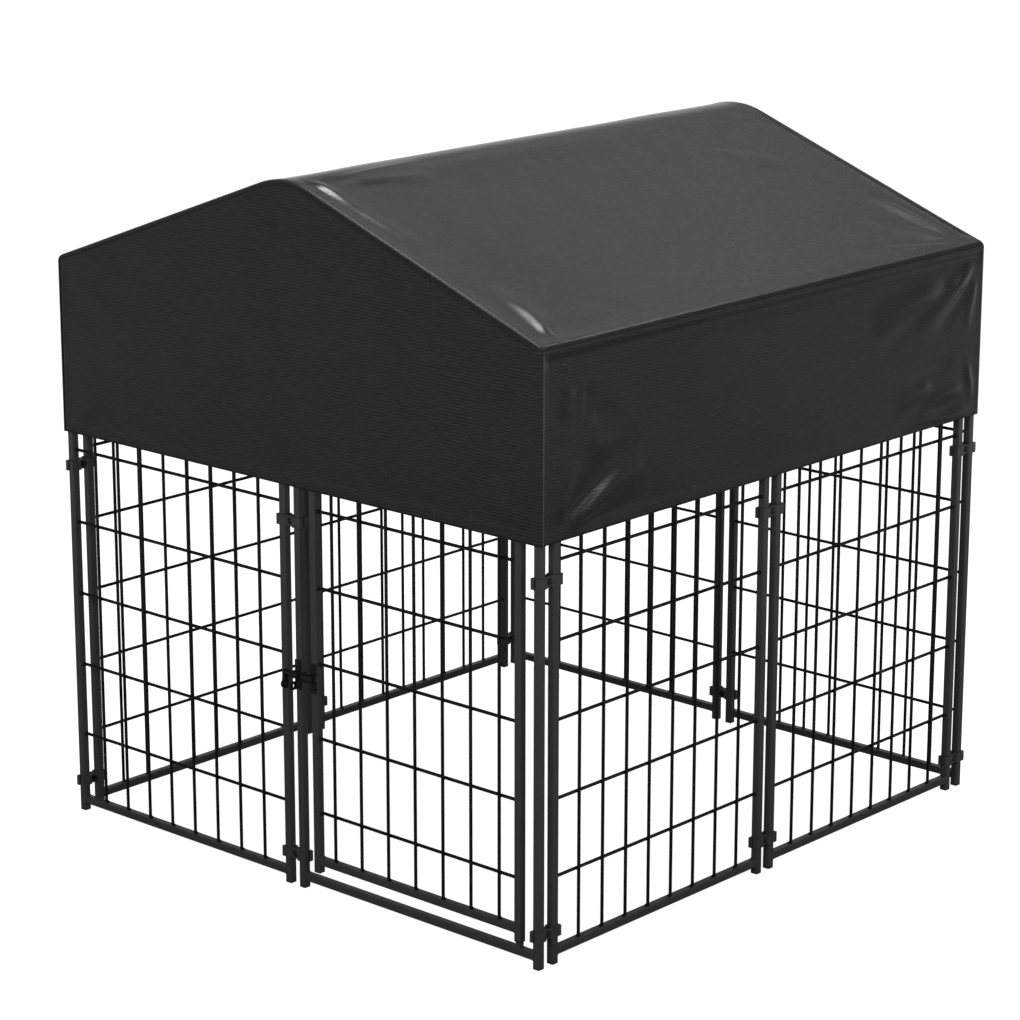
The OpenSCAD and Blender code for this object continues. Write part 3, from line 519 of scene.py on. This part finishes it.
def thread_material():
    """Twisted sewing thread: fine slanted bands along Object coordinates with a matt finish."""
    if "seam_thread" in bpy.data.materials:
        return bpy.data.materials["seam_thread"]
    colour = bpy.context.scene.kennel_colours.thread
    material, tree, shader, place = shade("seam_thread")
    inputs = {"Vector": place["Object"], "Scale": 260.0, "Distortion": 1.5, "Detail": 1.0}
    twist = new_node(tree, "ShaderNodeTexWave", inputs, bands_direction="DIAGONAL").outputs["Fac"]
    give(tree, shader, {
        "Base Color": blend_colours(tree, twist, scaled(colour, 0.7), scaled(colour, 1.5)),
        "Roughness": maths(tree, "MULTIPLY_ADD", twist, 0.1, 0.55),
        "Normal": bumpy(tree, twist, 0.3, 0.0002)})
    return material


def steel_coat():
    """Satin black powder coat of the tubes."""
    return coat_material("powder_coat", "steel", 1.0, 0.30, 0.17)


def bell(x):
    """Bell curve exp(-x^2)."""
    return np.exp(-np.square(x))


def ease(x):
    """Rises from 0 with no slope to 1: 1 - exp(-x^2), and 0 for negative x."""
    return 1 - bell(np.maximum(x, 0))


def crowded(count, share):
    """Numbers from -1 to 1 that crowd towards both ends: t + share sin(pi t) for equal steps of t."""
    t = np.linspace(-1, 1, count)
    return t + share * np.sin(math.pi * t)


def path_reach(points):
    """Distance along a line of points to each of them."""
    return np.concatenate([[0], np.cumsum(np.linalg.norm(np.diff(points, axis=0), axis=1))])


def crease_field(a, b, creases, flip=1.0):
    """Height of a set of creases at points (a, b). A crease's ridge is exp(-(d / w)^2), where d is the
    distance from its path and w grows from start to end, and with it the height, so that the flanks keep
    their slope. The height rises over the first part of the path and fades to nothing at its end. A
    second lobe of the other sign, 1.7 w to the side, makes its valley. With flip -1 the set is mirrored
    in a."""
    total = np.zeros(np.broadcast(a, b).shape)
    for path, start_width, end_width, height, valley in creases:
        pts = np.array(path) * (flip * MILLIMETRE, MILLIMETRE)
        lengths = path_reach(pts)
        best = np.full(total.shape, np.inf)
        along = np.zeros(total.shape)
        side = np.zeros(total.shape)
        for k in range(len(pts) - 1):
            d = pts[k + 1] - pts[k]
            size = np.linalg.norm(d)
            ua, ub = d / size
            pa, pb = a - pts[k, 0], b - pts[k, 1]
            t = np.clip(pa * ua + pb * ub, 0, size)
            dist = np.hypot(pa - t * ua, pb - t * ub)
            near = dist < best
            best = np.where(near, dist, best)
            along = np.where(near, (lengths[k] + t) / lengths[-1], along)
            side = np.where(near, (ua * pb - ub * pa) * flip, side)
        width = start_width + (end_width - start_width) * along
        w = width * MILLIMETRE
        rise = (CREASE_START + (1 - CREASE_START) * ease(along / CREASE_RUN)) * (1 - along ** 2)
        past = np.exp(-(np.square(best) - np.square(side)) / np.square(w))
        hollow = abs(valley) * past * bell((np.sign(valley) * side - VALLEY_AT * w) / w)
        tall = height * MILLIMETRE * width / end_width
        total += tall * rise * (bell(best / w) - hollow)
    return total


def soft_floor(lift, depth):
    """Lift whose negative part bends off towards minus depth, as depth tanh(lift / depth)."""
    return np.where(lift < 0, depth * np.tanh(lift / depth), lift)


def slow_waves(a, b, seed):
    """Gentle unevenness of hanging cloth: a sum of sines of long wave lengths with fixed phases."""
    k = np.arange(1, 5)
    fa, fb, ph = 7.0 * k + seed, 5.5 * k - 0.4 * seed, 1.7 * k * seed
    return sum(np.sin(fa[i] * a + 0.6 * np.sin(fb[i] * b + ph[i]) + ph[i]) / (i + 1) for i in range(4)) / 2


class Section:
    """Half section of the cover, from the right hem to the ridge, as the tube axis that the cloth follows.

    Skirt: straight up at EAVE_X. Eave: the normal turns about the eave tube's axis. Slope: the axis runs up
    the rafter, tangent to the eave and to the ridge bend. Ridge: the axis turns about the bend's centre."""

    def __init__(self, sizes):
        self.bend, r = sizes.ridge_bend, sizes.cloth_r
        self.rake_r, self.corner_r = sizes.rake_r, sizes.corner_r
        self.centre_z = RIDGE_Z - self.bend
        rise = self.centre_z - EAVE_Z
        self.slope = math.atan2(rise, EAVE_X) + math.asin(self.bend / math.hypot(EAVE_X, rise))
        steep = math.pi / 2 - self.slope
        end_x, end_z = self.bend * math.sin(self.slope), self.centre_z + self.bend * math.cos(self.slope)
        run = math.hypot(EAVE_X - end_x, end_z - EAVE_Z)
        skirt = np.linspace(HEM_Z, EAVE_Z, SKIRT_ROWS)
        eave = np.linspace(0, steep, EAVE_ROWS)[1:]
        share = np.linspace(0, 1, SLOPE_ROWS)[1:]
        slope = run * (share - SLOPE_CROWD * np.sin(TURN * share))
        ridge = np.linspace(steep, math.pi / 2, RIDGE_ROWS)[1:]
        over = run + (self.bend + r) * (ridge - steep)
        drop, level = EAVE_Z - HEM_Z, np.ones_like
        rows = (
            (EAVE_X * level(skirt), skirt, 0 * skirt, skirt - HEM_Z, -level(skirt)),
            (EAVE_X * level(eave), EAVE_Z * level(eave), eave, drop + r * eave, 0 * eave),
            (EAVE_X - math.cos(self.slope) * slope, EAVE_Z + math.sin(self.slope) * slope,
             steep * level(slope), drop + r * steep + slope, slope),
            (self.bend * np.cos(ridge), self.centre_z + self.bend * np.sin(ridge),
             ridge, drop + r * steep + over, over))
        self.x, self.z, self.turn, self.reach, self.up_slope = (np.concatenate(v) for v in zip(*rows))
        self.top = run + (self.bend + r) * self.slope

    def edge_radius(self, up_slope):
        """Bend radius at the gables: the corner's on the skirt, the rake's from a short way up the
        slope."""
        return self.corner_r + (self.rake_r - self.corner_r) * np.clip(up_slope / RAKE_RUN, 0, 1)

    def mirrored(self):
        """Whole section over the ridge: x, z, normal angle, reach from the right hem, distance up the
        slope and side."""
        back, level = slice(-2, None, -1), np.ones_like(self.x)
        pairs = (
            (self.x, -self.x), (self.z, self.z), (self.turn, math.pi - self.turn),
            (self.reach, 2 * self.reach[-1] - self.reach), (self.up_slope, self.up_slope), (level, -level))
        return [np.concatenate([right, left[back]]) for right, left in pairs]


def surface_normals(p):
    """Unit normals of a grid of points (rows, cols, 3), from the cross product of its two gradients."""
    return unit(np.cross(np.gradient(p, axis=1), np.gradient(p, axis=0)))


def skirt_lift(sizes, yy, zz, ss, ee):
    """Lift of the skirt at (yy, zz) on side ss, ee in from its sewn edge: minus the recess and the tuck
    below the eave's roll, plus creases and slow waves, bent off at its deepest, plus the doubled hem."""
    below, sewn = EAVE_Z - zz, ease(ee / sizes.seam)
    tuck = sizes.tuck * bell((below - TUCK_BELOW) / TUCK_WIDTH) * ease(below / TUCK_START)
    lift = -(sizes.wall_recess * ease(below / RECESS_START) + tuck) * sewn
    left = LEFT_SHARE * crease_field(yy, zz, SKIRT_CREASES, -1.0)
    folds = sizes.crease * np.where(ss > 0, crease_field(yy, zz, SKIRT_CREASES), left)
    lift = lift + ease(below / FREE) * ease(ee / FREE) * (folds + WAVE * slow_waves(yy, zz, 1.3))
    hem = np.clip((HEM_Z + sizes.band - zz) / BAND_RUN, 0, 1)
    return soft_floor(lift, SKIRT_DEPTH) + BAND_STEP * hem * sewn


def roof_lift(sizes, top, yy, uu, ss, ee):
    """Lift of the roof at yy and uu up the slope on side ss, ee in from its sewn edge: minus the sag and
    the drop behind the rolls over the rafters, plus creases, slow waves and the sewn bands. All but the
    bands are products of eases of the distances from the eave, from the ridge at top and from the sewn
    edge."""
    down = top - uu

    def freed(reach, edge):
        return ease(uu / reach[0]) * ease(down / reach[1]) * ease(edge / reach[2])

    left = LEFT_SHARE * crease_field(yy, uu, ROOF_CREASES, -1.0) * ease(down / LEFT_END)
    folds = sizes.crease * np.where(ss > 0, crease_field(yy, uu, ROOF_CREASES), left)
    band = np.clip((sizes.band - ee) / BAND_RUN, 0, 1) * np.clip(ee / BAND_BEVEL, 0, 1)
    lift = -sizes.roof_sag * freed(SAG_REACH, ee) - sizes.rake_drop * freed(DROP_REACH, ee - ROLL)
    return lift + freed(FOLD_REACH, ee) * (folds + WAVE * slow_waves(yy, uu + 2.0, 2.1)) + BAND_STEP * band


def roof_sheet(sizes):
    """Roof and both skirts. In the middle P = A(s) + (r + d) n(s), where A and n are the section's axis
    and normal and d is the cloth's lift with its piped seam. Over each sewn edge P = A + (r - q)(n + e)
    + q (cos f n + sin f e), where e points out of the gable, q is the edge radius and f turns from 90 to
    0 degrees. Returns points and UVs."""
    sec = Section(sizes)
    x, z, turn, reach, up_slope, side = sec.mirrored()
    q = sec.edge_radius(up_slope)[:, None]
    end_y = GABLE_Y + sizes.cloth_r - q
    f = np.linspace(math.pi / 2, 0, EDGE_COLUMNS)[:-1]
    g = f[::-1]
    close = np.array(FIRST_COLUMNS)
    wide = (end_y - NEXT_COLUMN) * crowded(ROOF_COLUMNS, ROOF_CROWD)
    mid = np.concatenate([close - end_y, wide, end_y - close[::-1]], 1)
    yy = np.concatenate([-end_y - q * np.sin(f), mid, end_y + q * np.sin(g)], 1)
    fall = np.concatenate([q * (np.cos(f) - 1), 0 * mid, q * (np.cos(g) - 1)], 1)
    along = np.concatenate([-end_y - q * f, mid, end_y + q * g], 1)
    ee = np.maximum(end_y - np.abs(yy), 0)
    xx, zz, rr, uu, ss = (np.broadcast_to(v[:, None], yy.shape) for v in (x, z, reach, up_slope, side))
    lift = np.where(uu > 0, roof_lift(sizes, sec.top, yy, uu, ss, ee), 0.0)
    lift = np.where(uu < 0, skirt_lift(sizes, yy, zz, ss, ee), lift)
    piped = sizes.piping * bell((ee - PIPING_IN) / PIPING_WIDTH)
    lift = lift + np.where(np.abs(yy) <= end_y, piped, 0.0)
    r = sizes.cloth_r + lift + fall
    n = np.stack([np.cos(turn), 0 * turn, np.sin(turn)], -1)[:, None, :]
    return np.stack([xx, yy, zz], -1) + r[..., None] * n, np.stack([along, rr], -1)


def gable_sheet(sizes, end, seed):
    """Gable panel: rows of P = (t X(i), end (y + r + d), Z(i)) for t from -1 to 1, where X and Z follow
    the roof sheet's edge and d is the recess from that edge, creases, slow waves and hem. Returns points
    and UVs."""
    sec = Section(sizes)
    edge = sizes.cloth_r - sec.edge_radius(sec.up_slope)
    bx, bz = sec.x + edge * np.cos(sec.turn), sec.z + edge * np.sin(sec.turn)
    bx[-1] = 0.0
    x = crowded(GABLE_COLUMNS, GABLE_CROWD)[None] * bx[:, None]
    z = np.broadcast_to(bz[:, None], x.shape)
    ax, up = np.abs(x), z - sec.centre_z
    out = sizes.cloth_r - sizes.rake_r
    under = out - ((ax - EAVE_X) * math.sin(sec.slope) + (z - EAVE_Z) * math.cos(sec.slope))
    bent = sec.bend + out - np.hypot(ax, up)
    under = np.where(ax < up * math.tan(sec.slope), np.minimum(under, bent), under)
    inside = EAVE_X + sizes.cloth_r - sizes.corner_r - ax
    sewn = ease(inside / sizes.seam)
    folds = sizes.crease * crease_field(end * -x, z, GABLE_CREASES) + GABLE_WAVE * slow_waves(x, z, seed)
    lift = -sizes.gable_recess * ease(under / sizes.seam) * sewn
    lift = lift + ease(under / FREE) * ease(inside / FREE) * folds
    hem = np.clip((HEM_Z + sizes.band - z) / BAND_RUN, 0, 1)
    y = end * (GABLE_Y + sizes.cloth_r + soft_floor(lift, GABLE_DEPTH) + BAND_STEP * hem * sewn)
    return np.stack([x, y, z], -1), np.stack([x, z - HEM_Z], -1)


def corner_cords(sizes):
    """Piping cords in the four upright seams: P = C + r (cos t, sin t) at every height, where C is the
    line on which a skirt starts to turn round the corner. Returns vertices (4, heights, sides, 3)."""
    z = np.linspace(HEM_Z, EAVE_Z, CORD_ROWS)[:, None]
    t = round_steps(CORD_SIDES)
    cx, cy = EAVE_X + sizes.cloth_r - CORD_SUNK, GABLE_Y + sizes.cloth_r - sizes.corner_r
    dx, dy = sizes.cord * np.cos(t), sizes.cord * np.sin(t)
    return np.array([
        np.stack(np.broadcast_arrays(sx * cx + dx, sy * cy + dy, z), -1) for sx in (-1, 1) for sy in (-1, 1)])


def unit_ball():
    """Points (rows, sides, 3) of a ball of radius 1: (cos lat cos lon, cos lat sin lon, sin lat)."""
    lat = np.linspace(-math.pi / 2, math.pi / 2, BALL_ROWS)[:, None]
    lon = round_steps(BALL_SIDES)[None]
    axes = np.cos(lat) * np.cos(lon), np.cos(lat) * np.sin(lon), np.sin(lat)
    return np.stack(np.broadcast_arrays(*axes), -1)


def on_line(at, reach, values):
    """Values (n, 3) along a line, interpolated at the distances at."""
    return np.stack([np.interp(at, reach, values[:, k]) for k in range(3)], -1)


def stitch_row(points, normals, pitch):
    """Stitches along a line of points: each is an ellipsoid that lies on the cloth, longest along the line.
    Stations at equal arc length are interpolated, then offset by a small ball. Returns vertices."""
    reach = path_reach(points)
    count = max(2, int(reach[-1] / pitch))
    at = (np.arange(count) + 0.5) * reach[-1] / count
    n = unit(on_line(at, reach, normals))
    d = on_line(at + pitch / 4, reach, points) - on_line(at - pitch / 4, reach, points)
    d = unit(d - n * (d * n).sum(1, keepdims=True))
    p, n, d, w = (v[:, None, None] for v in (on_line(at, reach, points), n, d, np.cross(n, d)))
    across, up, ahead = np.split(unit_ball()[None], 3, -1)
    return p + ahead * STITCH_HALF * pitch * d + STITCH_R * (across * w + up * n) + STITCH_UP * n


def weld_loop(centres, across, half, bead):
    """Weld beads round rail ends: a circle carried along a rounded square of side 2 half in the plane
    across the rail. Its radius bead (1 + 0.16 cos(26 t)) gives the ripples of the weld. Returns vertices
    of all loops."""
    t, theta = round_steps(WELD_STEPS), round_steps(WELD_SIDES)
    c, s = np.cos(t), np.sin(t)
    ring = np.stack([np.sign(c) * np.abs(c) ** SQUARENESS, np.sign(s) * np.abs(s) ** SQUARENESS], -1)
    ring *= half - WELD_SUNK
    plane = np.stack([np.cross(across, (0.0, 0.0, 1.0)), (0.0, 0.0, 1.0)])
    flat, outward = ring @ plane, unit(ring) @ plane
    r = bead * (1 + RIPPLE * np.cos(RIPPLES * t))[:, None, None]
    swing = np.cos(theta)[None, :, None] * outward[:, None] + np.sin(theta)[None, :, None] * across
    return centres[:, None, None] + (flat[:, None] + r * swing)[None]


def rail_ends(node, inset, foot):
    """Middle points of the four rail ends of a frame node, its run direction, and the heights between
    its rails: stile faces in from the box's ends, rails at an inset from the stile ends."""
    lo, hi = (np.array(v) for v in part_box(node))
    along = 0 if hi[0] - lo[0] > hi[1] - lo[1] else 1
    low, high = lo[2] - foot + inset + TUBE / 2, hi[2] - inset - TUBE / 2
    ends = np.tile((lo + hi) / 2, (4, 1))
    ends[:, along] = np.repeat([lo[along] + TUBE, hi[along] - TUBE], 2)
    ends[:, 2] = np.tile([low, high], 2)
    return ends, np.eye(3)[along], (low + TUBE / 2, high - TUBE / 2)


def wire_spots(mesh, sizes, inset, foot, count, edge, first):
    """Weld nuggets of one wire grid: a ball times its radii at every crossing and where the wires meet
    the tubes. Returns vertices."""
    ends, across, (low, high) = rail_ends(mesh.replace("_mesh", "_frame"), inset, foot)
    lo, hi = (np.array(v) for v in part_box(mesh))
    along = int(np.argmax(across))
    start, stop = ends[0][along], ends[-1][along]
    upright = np.linspace(start + edge, stop - edge, count)
    level = first + sizes.row * np.arange(int((high - first - 4 * sizes.wire) / sizes.row) + 1)
    u, z = np.meshgrid(upright, level, indexing="ij")
    flat = np.concatenate([
        np.stack([u.ravel(), z.ravel()], -1),
        np.stack([np.repeat(upright, 2), np.tile([low, high], count)], -1),
        np.stack([np.tile([start, stop], len(level)), np.repeat(level, 2)], -1)])
    centres = np.zeros((len(flat), 3))
    centres[:, along], centres[:, 2] = flat[:, 0], flat[:, 1]
    centres[:, 1 - along] = ((lo + hi) / 2)[1 - along]
    radii = np.full((len(flat), 3), TIP * sizes.wire)
    radii[:u.size] = CROSSING * sizes.wire
    radii[:u.size, 1 - along] = sizes.wire
    return centres[:, None, None] + unit_ball()[None] * radii[:, None, None]


class FinishSteel(bpy.types.Operator):
    """Powder-coat the tubes, straps and pivots."""

    bl_idname = "kennel.finish_steel"
    bl_label = "Steel finish"

    def execute(self, context):
        finish_nodes(FIXED_FRAMES + ROOF_STEEL + FORMED_STEEL + ("gate_frame",), steel_coat())
        return {"FINISHED"}


class FinishWire(bpy.types.Operator):
    """Coat the welded wire of the panels and the gate."""

    bl_idname = "kennel.finish_wire"
    bl_label = "Wire finish"

    def execute(self, context):
        coat = coat_material("wire_coat", "wire", 0.7, 0.36, 0.10, bump=0.10)
        finish_nodes(FIXED_MESHES + ("gate_mesh",), coat)
        return {"FINISHED"}


class FinishPlastic(bpy.types.Operator):
    """Give the feet, caps, bushes and roof fittings a moulded finish."""

    bl_idname = "kennel.finish_plastic"
    bl_label = "Plastic finish"

    def execute(self, context):
        coat = coat_material("moulded_plastic", "plastic", 0.4, 0.50, 0.25, bump=0.2)
        finish_nodes(MOULDED_PARTS, coat)
        return {"FINISHED"}


class FinishHardware(bpy.types.Operator):
    """Give the bolts, nuts, screws and the latch a black-zinc finish, partly painted shade in the latch."""

    bl_idname = "kennel.finish_hardware"
    bl_label = "Hardware finish"

    def execute(self, context):
        # Painted shade: this colour is darker than the finish alone, for the shade in the latch and round the
        # bolt heads
        finish_nodes(HARDWARE, coat_material("black_zinc", "hardware", 0.3, 0.34, 0.15, dust=0.04))
        return {"FINISHED"}


class BuildWelds(bpy.types.Operator):
    """Weld beads round the rail ends and nuggets on the wires."""

    bl_idname = "kennel.build_welds"
    bl_label = "Welds"

    def execute(self, context):
        sizes = context.scene.kennel_frame
        panel = sizes.rail_inset, PANEL_LOW.z, sizes.panel_wires, sizes.panel_edge, sizes.panel_row_first
        gate = sizes.gate_rail_inset, 0.0, sizes.gate_wires, sizes.gate_edge, sizes.gate_row_first
        ring = quad_grid(WELD_STEPS + 1, WELD_SIDES, close_cols=True) % (WELD_STEPS * WELD_SIDES)
        for name, body, nodes, kind in (
                ("weld_beads", "kennel", FIXED_FRAMES, panel),
                ("gate_weld_beads", "gate", ("gate_frame",), gate)):
            loops = [weld_loop(*rail_ends(node, *kind[:2])[:2], TUBE / 2, sizes.bead) for node in nodes]
            verts = np.concatenate(loops)
            make_piece(name, verts, repeat_faces(ring, verts), steel_coat(), body)
        ball = quad_grid(BALL_ROWS, BALL_SIDES, close_cols=True)
        coat = bpy.data.materials["wire_coat"]
        for name, body, meshes, kind in (
                ("wire_welds", "kennel", FIXED_MESHES, panel),
                ("gate_wire_welds", "gate", ("gate_mesh",), gate)):
            verts = np.concatenate([wire_spots(mesh, sizes, *kind) for mesh in meshes])
            make_piece(name, verts, repeat_faces(ball, verts), coat, body)
        return {"FINISHED"}


class BuildCover(bpy.types.Operator):
    """Sewn cover: roof with both skirts, two gables, their stitches, and the cords in the upright seams."""

    bl_idname = "kennel.build_cover"
    bl_label = "Cover"

    def execute(self, context):
        sizes = context.scene.kennel_cover
        cloth, thread = cloth_material(), thread_material()
        sheets = (
            ("roof_cloth", "cover_main", roof_sheet(sizes), True,
             ["eave_tube_left", "eave_tube_right", "ridge_pole"]),
            ("front_gable_cloth", "cover_front_gable", gable_sheet(sizes, -1, 2.7), False,
             ["rafter_front_left", "rafter_front_right"]),
            ("rear_gable_cloth", "cover_rear_gable", gable_sheet(sizes, 1, 3.9), True,
             ["rafter_rear_left", "rafter_rear_right"]))
        rows = []
        for name, node, (points, uv), turned, rests in sheets:
            quads = quad_grid(*points.shape[:2])
            normals = surface_normals(points) * (1 if turned else -1)
            quads = quads[:, ::-1] if turned else quads
            obj = make_piece(name, points, quads, cloth, "kennel", uv)
            wall = obj.modifiers.new("cloth thickness", "SOLIDIFY")
            wall.thickness, wall.offset = sizes.cloth_t, -1.0
            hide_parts(node)
            rows += self.stitch_lines(name, points, normals, sizes)
        cords = corner_cords(sizes)
        coat = coat_material("seam_cord", "plastic", 1.0, 0.22, 0.6)
        tube = quad_grid(CORD_ROWS, CORD_SIDES, close_cols=True)
        make_piece("cover_cords", cords, repeat_faces(tube, cords), coat, "kennel")
        verts = np.concatenate(rows)
        faces = repeat_faces(quad_grid(BALL_ROWS, BALL_SIDES, close_cols=True), verts)
        make_piece("cover_stitches", verts, faces, thread, "kennel")
        return {"FINISHED"}

    def stitch_lines(self, name, points, normals, sizes):
        """Stitched lines of a sheet: a line on each hem, and one along the rafters at both ends of the
        roof."""
        heights = points[:SKIRT_ROWS, points.shape[1] // 2, 2]
        hem = int(np.argmin(np.abs(heights - HEM_Z - sizes.band + HEM_STITCH)))
        if name != "roof_cloth":
            return [stitch_row(points[hem, GABLE_ROW], normals[hem, GABLE_ROW], sizes.stitch)]
        end_y = GABLE_Y + sizes.cloth_r - sizes.corner_r
        lines = []
        for row in (hem, -1 - hem):
            lines.append(stitch_row(points[row, ROOF_ROW], normals[row, ROOF_ROW], sizes.stitch))
        for side in (-1, 1):
            col = np.argmin(np.abs(points[0, :, 1] - side * (end_y - RAKE_STITCH)))
            lines.append(stitch_row(points[RAKE_COLUMN, col], normals[RAKE_COLUMN, col], sizes.stitch))
        return lines


class BuildStage(bpy.types.Operator):
    """Pale floor, soft studio light and the photograph's camera."""

    bl_idname = "kennel.build_stage"
    bl_label = "Stage"

    def execute(self, context):
        scene = context.scene
        scene.view_settings.view_transform = "Standard"
        self.floor(scene)
        self.world(scene)
        for lamp in LAMPS:
            self.lamp(scene, *lamp)
        self.camera(scene)
        return {"FINISHED"}

    def seen(self, tree, mirrored):
        """Light Path mask of the rays that show the background: camera and transmission rays, and glossy
        rays by the share that a mask socket gives."""
        path = new_node(tree, "ShaderNodeLightPath").outputs
        direct = maths(tree, "MAXIMUM", path["Is Camera Ray"], path["Is Transmission Ray"])
        return maths(tree, "MAXIMUM", direct, maths(tree, "MULTIPLY", path["Is Glossy Ray"], mirrored))

    def floor(self, scene):
        """Wide level grid, pale diffuse with a white glow for the rays that show the background; in
        reflections the glow begins a little away from the object, and its lack there paints the object's
        shadow on the floor."""
        side = np.linspace(-FLOOR_HALF, FLOOR_HALF, FLOOR_POINTS)
        x, y = np.meshgrid(side, side)
        verts = np.stack([x, y, np.full(x.shape, FLOOR_Z)], -1).reshape(-1, 3)
        mesh = bpy.data.meshes.new("studio_floor")
        mesh.from_pydata(verts.tolist(), [], quad_grid(FLOOR_POINTS, FLOOR_POINTS).tolist())
        obj = bpy.data.objects.new("studio_floor", mesh)
        scene.collection.objects.link(obj)
        material, tree, shader, place = shade("studio_floor")
        tree.nodes.remove(shader)
        pale = new_node(tree, "ShaderNodeBsdfDiffuse", {"Color": tuple(scene.kennel_colours.floor)})
        away = new_node(tree, "ShaderNodeVectorMath", {0: place["Object"]}, operation="LENGTH")
        # Painted shadow: in reflections the floor glows only away from the object, so it looks shaded round
        # it
        shown = self.seen(tree, ramp(tree, away.outputs["Value"], GLOW_START, GLOW_WHOLE))
        strength = maths(tree, "MULTIPLY", shown, FLOOR_GLOW)
        glow = new_node(tree, "ShaderNodeEmission", {"Color": (1, 1, 1, 1), "Strength": strength})
        both = new_node(tree, "ShaderNodeAddShader", {0: pale.outputs[0], 1: glow.outputs[0]})
        give(tree, tree.nodes["Material Output"], {"Surface": both.outputs[0]})
        mesh.materials.append(material)

    def world(self, scene):
        """White for the rays that show the background, in reflections near the horizon, and grey
        elsewhere."""
        world = bpy.data.worlds.new("studio")
        scene.world = world
        world.use_nodes = True
        tree = world.node_tree
        way = new_node(tree, "ShaderNodeTexCoord").outputs["Generated"]
        white = self.seen(tree, ramp(tree, parts(tree, way)["Z"], SKY_GREY, SKY_WHITE))
        strength = maths(tree, "MULTIPLY_ADD", white, 1 - WORLD_LEVEL, WORLD_LEVEL)
        give(tree, tree.nodes["Background"], {"Color": (1, 1, 1, 1), "Strength": strength})

    def lamp(self, scene, name, place, aim, size, power):
        """Rectangular softbox that faces a point."""
        light = bpy.data.lights.new(name, "AREA")
        light.shape, light.size, light.size_y, light.energy = "RECTANGLE", size[0], size[1], power
        obj = bpy.data.objects.new(name, light)
        obj.location = place
        obj.rotation_euler = (Vector(aim) - Vector(place)).to_track_quat("-Z", "Y").to_euler()
        scene.collection.objects.link(obj)

    def camera(self, scene):
        """Long lens in front of the gate's right-hand corner."""
        az, el, roll = (math.radians(v) for v in CAMERA_ANGLES)
        back = Vector((math.sin(az) * math.cos(el), -math.cos(az) * math.cos(el), math.sin(el)))
        flat = Vector((math.cos(az), math.sin(az), 0.0))
        rise = back.cross(flat)
        right = flat * math.cos(roll) + rise * math.sin(roll)
        up = rise * math.cos(roll) - flat * math.sin(roll)
        lens = bpy.data.cameras.new("photo view")
        lens.sensor_fit, lens.sensor_width, lens.lens = "HORIZONTAL", 36.0, CAMERA_LENS
        lens.shift_x, lens.clip_end = CAMERA_SHIFT, CAMERA_REACH
        obj = bpy.data.objects.new("photo view", lens)
        turn = Matrix((right, up, back)).transposed().to_4x4()
        obj.matrix_world = Matrix.Translation(CAMERA_PLACE) @ turn
        scene.collection.objects.link(obj)
        scene.camera = obj


STEPS = (FinishSteel, FinishWire, FinishPlastic, FinishHardware, BuildWelds, BuildCover, BuildStage)


class KennelPanel(bpy.types.Panel):
    """Sidebar panel with the sizes, colours and steps."""

    bl_idname = "KENNEL_PT_build"
    bl_label = "Dog kennel run"
    bl_space_type = "VIEW_3D"
    bl_region_type = "UI"
    bl_category = "Kennel"

    def draw(self, context):
        for key, _ in GROUPS:
            group = getattr(context.scene, key)
            box = self.layout.box()
            for size in group.__annotations__:
                box.prop(group, size)
        for step in STEPS:
            self.layout.operator(step.bl_idname)


GROUPS = (
    ("kennel_frame", FrameSizes), ("kennel_cover", CoverSizes), ("kennel_weave", WeaveSizes),
    ("kennel_colours", FinishColours),
)


def register():
    for key, group in GROUPS:
        bpy.utils.register_class(group)
        setattr(bpy.types.Scene, key, PointerProperty(type=group))
    for step in STEPS + (KennelPanel,):
        bpy.utils.register_class(step)


def unregister():
    for step in reversed(STEPS + (KennelPanel,)):
        bpy.utils.unregister_class(step)
    for key, group in reversed(GROUPS):
        delattr(bpy.types.Scene, key)
        bpy.utils.unregister_class(group)


def main():
    register()
    bpy.ops.kennel.finish_steel()
    bpy.ops.kennel.finish_wire()
    bpy.ops.kennel.finish_plastic()
    bpy.ops.kennel.finish_hardware()
    bpy.ops.kennel.build_welds()
    bpy.ops.kennel.build_cover()
    bpy.ops.kennel.build_stage()


if __name__ == "__main__":
    main()
